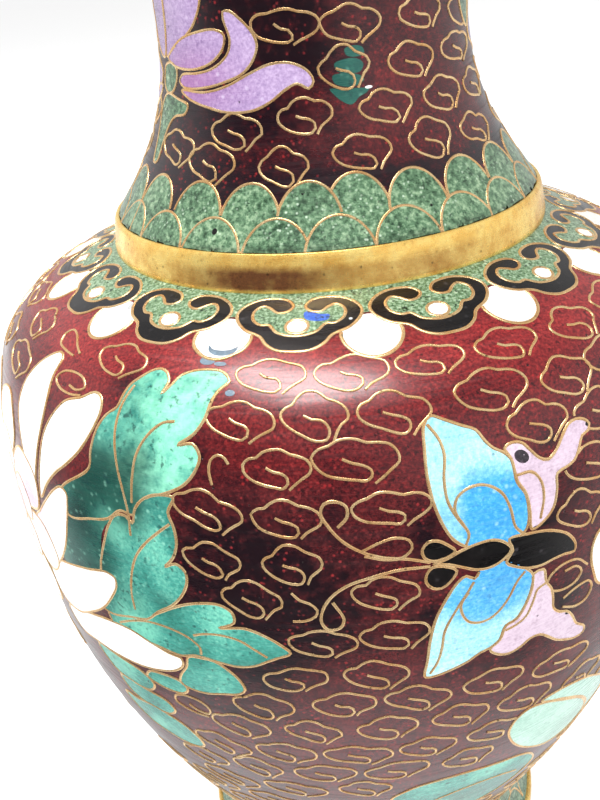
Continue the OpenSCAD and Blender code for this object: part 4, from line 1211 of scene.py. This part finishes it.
# Burst bubbles on the neck: place and radius; spots and pits on the body: place, radii, tone
NECK_PITS = ((-28.8, 1.4, 0.36), (26.5, 2.2, 0.16), (-6, 5, 0.14))
BODY_SPOTS = ((-20.7, 10.8, 0.85, 0.55, 1), (-18.4, 11.1, 0.7, 0.28, 1), (-15.6, 14.6, 0.5, 0.36, 1),
              (-44.5, 5, 0.42, 0.62, 0.5), (2.7, 4.9, 0.24, 0.2, 0.4))
BODY_PITS = ((32.35, 23.8, 0.32, 0.28), (23.8, 33.3, 0.95, 0.2), (29.1, 47.5, 0.4, 0.28))


def mended_spots():
    """Small places where another glass fills a chip in the ground, and some burst bubbles."""
    m = Motif(NECK, NECK_K)
    for points in NECK_SPOTS:
        m.cell("dark_spots", points, evenly(0.86), step=0.3, grid=0.6, wired=False)
    m.dot("pale_spots", 16.4, 14.95, 0.5, 0.16, evenly(0.2))
    for th, h, size in NECK_PITS:
        m.dot("pits", th, h, size * NECK_K / SCALE_K, size * 0.9, lift=0.03)
    m.fill()
    m = Motif(BODY, SHOULDER_K)
    for th, s, across, down, tone in BODY_SPOTS:
        m.dot("pale_spots", th, s, across, down, evenly(tone), 0.015)
    for th, s, across, down in BODY_PITS:
        m.dot("pits", th, s, across * SHOULDER_K / BODY_K, down, lift=0.02)
    m.fill()


mended_spots()

NECK_CLOUDS = [
    (-51.3, 9.2), (-35, 8), (-11.1, 7.6), (11.8, 8.4), (34.2, 8.5), (55.5, 8.1), (-26.8, 11.3),
    (-4.3, 12.6), (21.7, 12.6), (44.6, 12.7), (66, 12.6), (9.2, 17.1), (33.5, 16.9), (58, 17.2), (-9, 21.9),
    (12.5, 21.5), (39, 21.7), (64, 21), (3, 26.3), (27, 26.4), (50, 26.4)]
NECK_CLOUD_SIZE = 0.88


def neck_clouds(loops):
    """The neck's clouds: those read from the picture, then even rows over the rest."""
    lay_clouds(cloud_builds[3], NECK_CLOUDS, NECK, loops, NECK_CLOUD_SIZE, allow=0.5)
    rows = np.arange(8.4, NECK_END - 4, 4.55)
    around = rule_places(NECK, rows, 8.3, NECK_CLOUDS, ((-66, 66), (0, 29)), 6.5)
    lay_clouds(cloud_builds[4], around, NECK, loops, NECK_CLOUD_SIZE)


neck_clouds(copies(scale_rows() + neck_flowers()))

# ---- Enamel grounds ----


def ground(profile, a, b, step, dark, tone, steps):
    """One layer of ground enamel, with its near-black zones as point values."""
    build = Build()
    rows = layer_rows(profile, a, b, step, -0.06)
    count = max(2, int(abs(b - a) / step))
    s = np.concatenate([np.linspace(a, b, count), np.linspace(b, a, len(rows) - count)])
    t, s = np.meshgrid(wrap(np.arange(steps) * 360 / steps), s)
    lathe(build, rows, steps, dark=dark(t, s).ravel(), tone=tone(t, s).ravel())
    return build


def shoulder_painted_light(th, s):
    """Painted light: the upper shoulder, where the overhead lamp falls, is painted a brighter red."""
    return 0.75 * bell(s, 10.5, 5.5) + 0 * th


# The body ground's tone values are painted light: a brighter red on the upper shoulder.
body_ground = ground(BODY, 2.2, BODY_END, 0.9, ground_dark, shoulder_painted_light, 360)
neck_ground = ground(NECK, NECK_END, 0.0, 0.8, neck_dark, evenly(0.0), 300)

# ---- Metal rings ----


def ring_rows(points):
    """Rows for lathe() from a closed section of (radius, height) with its corners eased."""
    p = np.array(points, float)
    for _ in range(2):
        nxt = np.roll(p, -1, axis=0)
        p = np.stack([p * 0.82 + nxt * 0.18, p * 0.18 + nxt * 0.82], 1).reshape(-1, 2)
    fine = []
    for q, nxt in zip(p, np.roll(p, -1, axis=0)):
        count = max(1, int(np.linalg.norm(nxt - q) / 0.5))
        fine += [q + (nxt - q) * i / count for i in range(count)]
    p = np.array(fine)
    run = np.roll(p, -1, axis=0) - np.roll(p, 1, axis=0)
    run /= np.linalg.norm(run, axis=1)[:, None]
    return np.column_stack([p, -run[:, 1], run[:, 0]])


def metal_ring(name, points, node, patina, steps=360):
    """Makes a gilt ring in place of a CAD node; patina gives its tarnish at an angle and a height."""
    build = Build()
    rows = ring_rows(points)
    t, z = np.meshgrid(wrap(np.arange(steps) * 360 / steps), rows[:, 1])
    lathe(build, rows, steps, patina=patina(t, z).ravel())
    build.piece(name, RING_GOLD, "gilt_brass", [node])


def collar_age(th, z):
    """Grey-brown tarnish on the collar's face, in long patches; its upper edge stays bright."""
    face = np.clip((COLLAR_TOP - 1.1 - z) / 0.9, 0, 1) * np.clip((z - COLLAR_LOW) / 0.6, 0.25, 1)
    patches = 0.95 * bell(th, -16, 17) + 0.35 * bell(th, 22, 14) + 0.8 * bell(np.abs(th), 120, 20) + 0.12
    return np.clip(face * patches, 0, 1)


metal_ring("collar_ring", [
    (NECK_BASE_R - 0.15, COLLAR_TOP - 0.05), (NECK_BASE_R - 0.8, COLLAR_LOW + 0.3),
    (COLLAR_R - 0.9, COLLAR_LOW - 0.1), (COLLAR_R - 0.12, COLLAR_LOW - 0.2), (COLLAR_R, COLLAR_LOW + 0.4),
    (COLLAR_R - 0.22, COLLAR_LOW + 1.7), (COLLAR_R - 0.5, COLLAR_TOP - 0.9),
    (COLLAR_R - 0.62, COLLAR_TOP - 0.35), (COLLAR_R - 0.85, COLLAR_TOP + 0.04)],
    "neck_collar", collar_age, 420)

# The lip is a round bar
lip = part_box("mouth_rim")
lip_z, lip_r = (lip[0].z + lip[1].z) / 2 / MM, (lip[1].z - lip[0].z) / 2 / MM
lip_c = lip[1].x / MM - lip_r
lip_points = [(lip_c - lip_r * math.sin(a), lip_z + lip_r * math.cos(a))
              for a in np.radians(range(0, 360, 20))]
metal_ring("mouth_ring", lip_points, "mouth_rim", lambda t, z: 0.15 + 0.3 * bell(t, 60, 40))
foot_points = [(FOOT_R - 4.5, 3.2), (FOOT_R - 4.5, 0), (FOOT_R - 0.5, 0), (FOOT_R, 0.6), (FOOT_R, 2.5),
               (FOOT_R - 0.55, 3.2)]
metal_ring("foot_ring", foot_points, "foot_rim", lambda t, z: 0.2 + 0.4 * bell(z, 0, 0.8))

# ---- Foot enamel with its scales ----

FOOT_SCALES = 26
FOOT_K = math.radians(31)
FOOT_WIRE = 0.38
foot_build, foot_wire = Build(), Build()


def foot_band():
    """The foot's green enamel, with two staggered rows of scales."""
    lathe(foot_build, layer_rows(FOOT, 0.0, float(FOOT.key[-1]) - 0.2, 0.6, 0.0, 0.7), 300)
    half = 180 / FOOT_SCALES * 0.97
    for row, low in ((0, 6.2), (1, 10.6)):
        for i in range(FOOT_SCALES):
            th = 360 / FOOT_SCALES * (i + 0.5 * row)
            arc = [(th + half * math.cos(a), low - 4.3 * math.sin(a)) for a in np.linspace(0, math.pi, 11)]
            sweep(foot_wire, FOOT, smooth(arc, FOOT_K, 0.6, closed=False), False, FOOT_WIRE)


foot_band()

# ---- Pieces ----

body_ground.piece("body_ground_enamel", OXBLOOD, "oxblood_enamel", ["body_ground"])
neck_ground.piece("neck_ground_enamel", OXBLOOD, "oxblood_enamel", ["neck_ground"])
for number, cloud_build in enumerate(cloud_builds, 1):
    cloud_build.piece(f"cloud_wires_{number}", WIRE_GOLD, "gilt_wire")
foot_wire.piece("foot_scale_wires", WIRE_GOLD, "gilt_wire")
foot_build.piece("foot_green_enamel", GREEN, "green_enamel", ["foot_enamel"])
for name, (material, slot, node) in FINISH.items():
    builds[name].piece("vase_" + name, material, slot, [node] if node else ())

for node in ("neck_shell", "shoulder_shell", "belly_shell", "foot_shell", "base_plate"):
    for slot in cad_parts[node].material_slots:
        slot.material = COPPER
for node in ("neck_lining", "shoulder_lining", "belly_lining", "base_enamel"):
    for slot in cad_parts[node].material_slots:
        slot.material = LINING

# ---- Floor, light and camera ----


def floor():
    """The pale table that the vase stands on."""
    mesh = bpy.data.meshes.new("floor")
    mesh.from_pydata([(-3, -3, 0), (3, -3, 0), (3, 4, 0), (-3, 4, 0)], [], [(0, 1, 2, 3)])
    m = Shade("pale_floor")
    m.set(Base_Color=(0.9, 0.9, 0.9, 1), Roughness=0.7, Emission_Color=(1, 1, 1, 1), Emission_Strength=0.42)
    mesh.materials.append(m.mat)
    obj = placed("floor", mesh)
    obj.visible_glossy = False


def softbox(name, at, aim, size, watts, glossy=True):
    """A rectangular lamp that faces a point; glossy if the glass is to mirror it."""
    lamp = bpy.data.lights.new(name, "AREA")
    lamp.shape = "RECTANGLE"
    lamp.size, lamp.size_y = size
    lamp.energy = watts
    obj = placed(name, lamp)
    obj.location = at
    obj.visible_glossy = glossy
    obj.rotation_euler = (Vector(aim) - Vector(at)).to_track_quat("-Z", "Y").to_euler()


def sky():
    """A plain white room. The glass mirrors it dim in front, pale below and bright beside and behind."""
    world = bpy.data.worlds.new("room")
    bpy.context.scene.world = world
    m = Nodes(world)
    split = m.node("ShaderNodeSeparateXYZ")
    m.link(m.node("ShaderNodeTexCoord").outputs["Generated"], split.inputs[0])
    x, y, z = split.outputs

    def ease(value, low, high, first, last):
        return m.span(value, low, high, first, last, "SMOOTHSTEP")

    def pick(factor, first, second):
        n = m.node("ShaderNodeMix")
        for i, v in enumerate((factor, None, first, second)):
            if v is not None:
                m.put(n.inputs[i], v)
        return n.outputs[0]

    # 1 straight behind the darkest stand-point, -1 at it
    behind = m.plus(m.times(x, 0.34), m.times(y, 0.94))
    beside = ease(behind, -0.35, 0.65, 0.0, 1.0)
    under = ease(z, -0.72, -0.95, 0.0, 1.0)
    left = ease(x, -0.3, -0.85, 1.3, 3.0)
    table = m.plus(m.times(m.math("MAXIMUM", beside, under), left), 0.03)
    level = m.plus(m.times(x, 0.53), m.times(y, 0.85))
    open_wall = m.times(ease(level, -0.9, -0.4, 0.0, 0.8), ease(z, 0.35, 0.8, 1.0, 0.25))
    mirror = pick(ease(z, -0.30, -0.02, 1.0, 0.0), m.plus(open_wall, 0.03), table)
    path = m.node("ShaderNodeLightPath")
    lit = pick(path.outputs["Is Glossy Ray"], ROOM, mirror)
    back = m.node("ShaderNodeBackground")
    m.link(pick(path.outputs["Is Camera Ray"], lit, BACKDROP), back.inputs["Strength"])
    m.link(back.outputs[0], m.node("ShaderNodeOutputWorld").inputs[0])


def camera():
    """The view in the picture: close, from above the shoulder, with a slight roll."""
    at = Vector((0, -124.05, 149.16)) * MM
    yaw, pitch, roll = -0.0528, 0.4804, -0.1058
    ahead = Vector((math.sin(yaw) * math.cos(pitch), math.cos(yaw) * math.cos(pitch), -math.sin(pitch)))
    level = Vector((math.cos(yaw), -math.sin(yaw), 0))
    over = level.cross(ahead)
    right = level * math.cos(roll) + over * math.sin(roll)
    up = over * math.cos(roll) - level * math.sin(roll)
    data = bpy.data.cameras.new("camera")
    data.lens, data.sensor_width = 40.5, 36
    data.clip_start, data.clip_end = 0.005, 20
    obj = placed("camera", data)
    turn = Matrix((right, up, -ahead)).transposed().to_4x4()
    obj.matrix_world = Matrix.Translation(at) @ turn
    bpy.context.scene.camera = obj


floor()
sky()
camera()
middle = (0, 0, 0.11)
softbox("overhead", (-0.10, -0.04, 0.95), middle, (0.52, 0.34), 8.0)
softbox("front", (-0.1, -0.9, 0.75), middle, (0.6, 0.5), 11.0, glossy=False)
bpy.context.scene.view_settings.view_transform = "Standard"
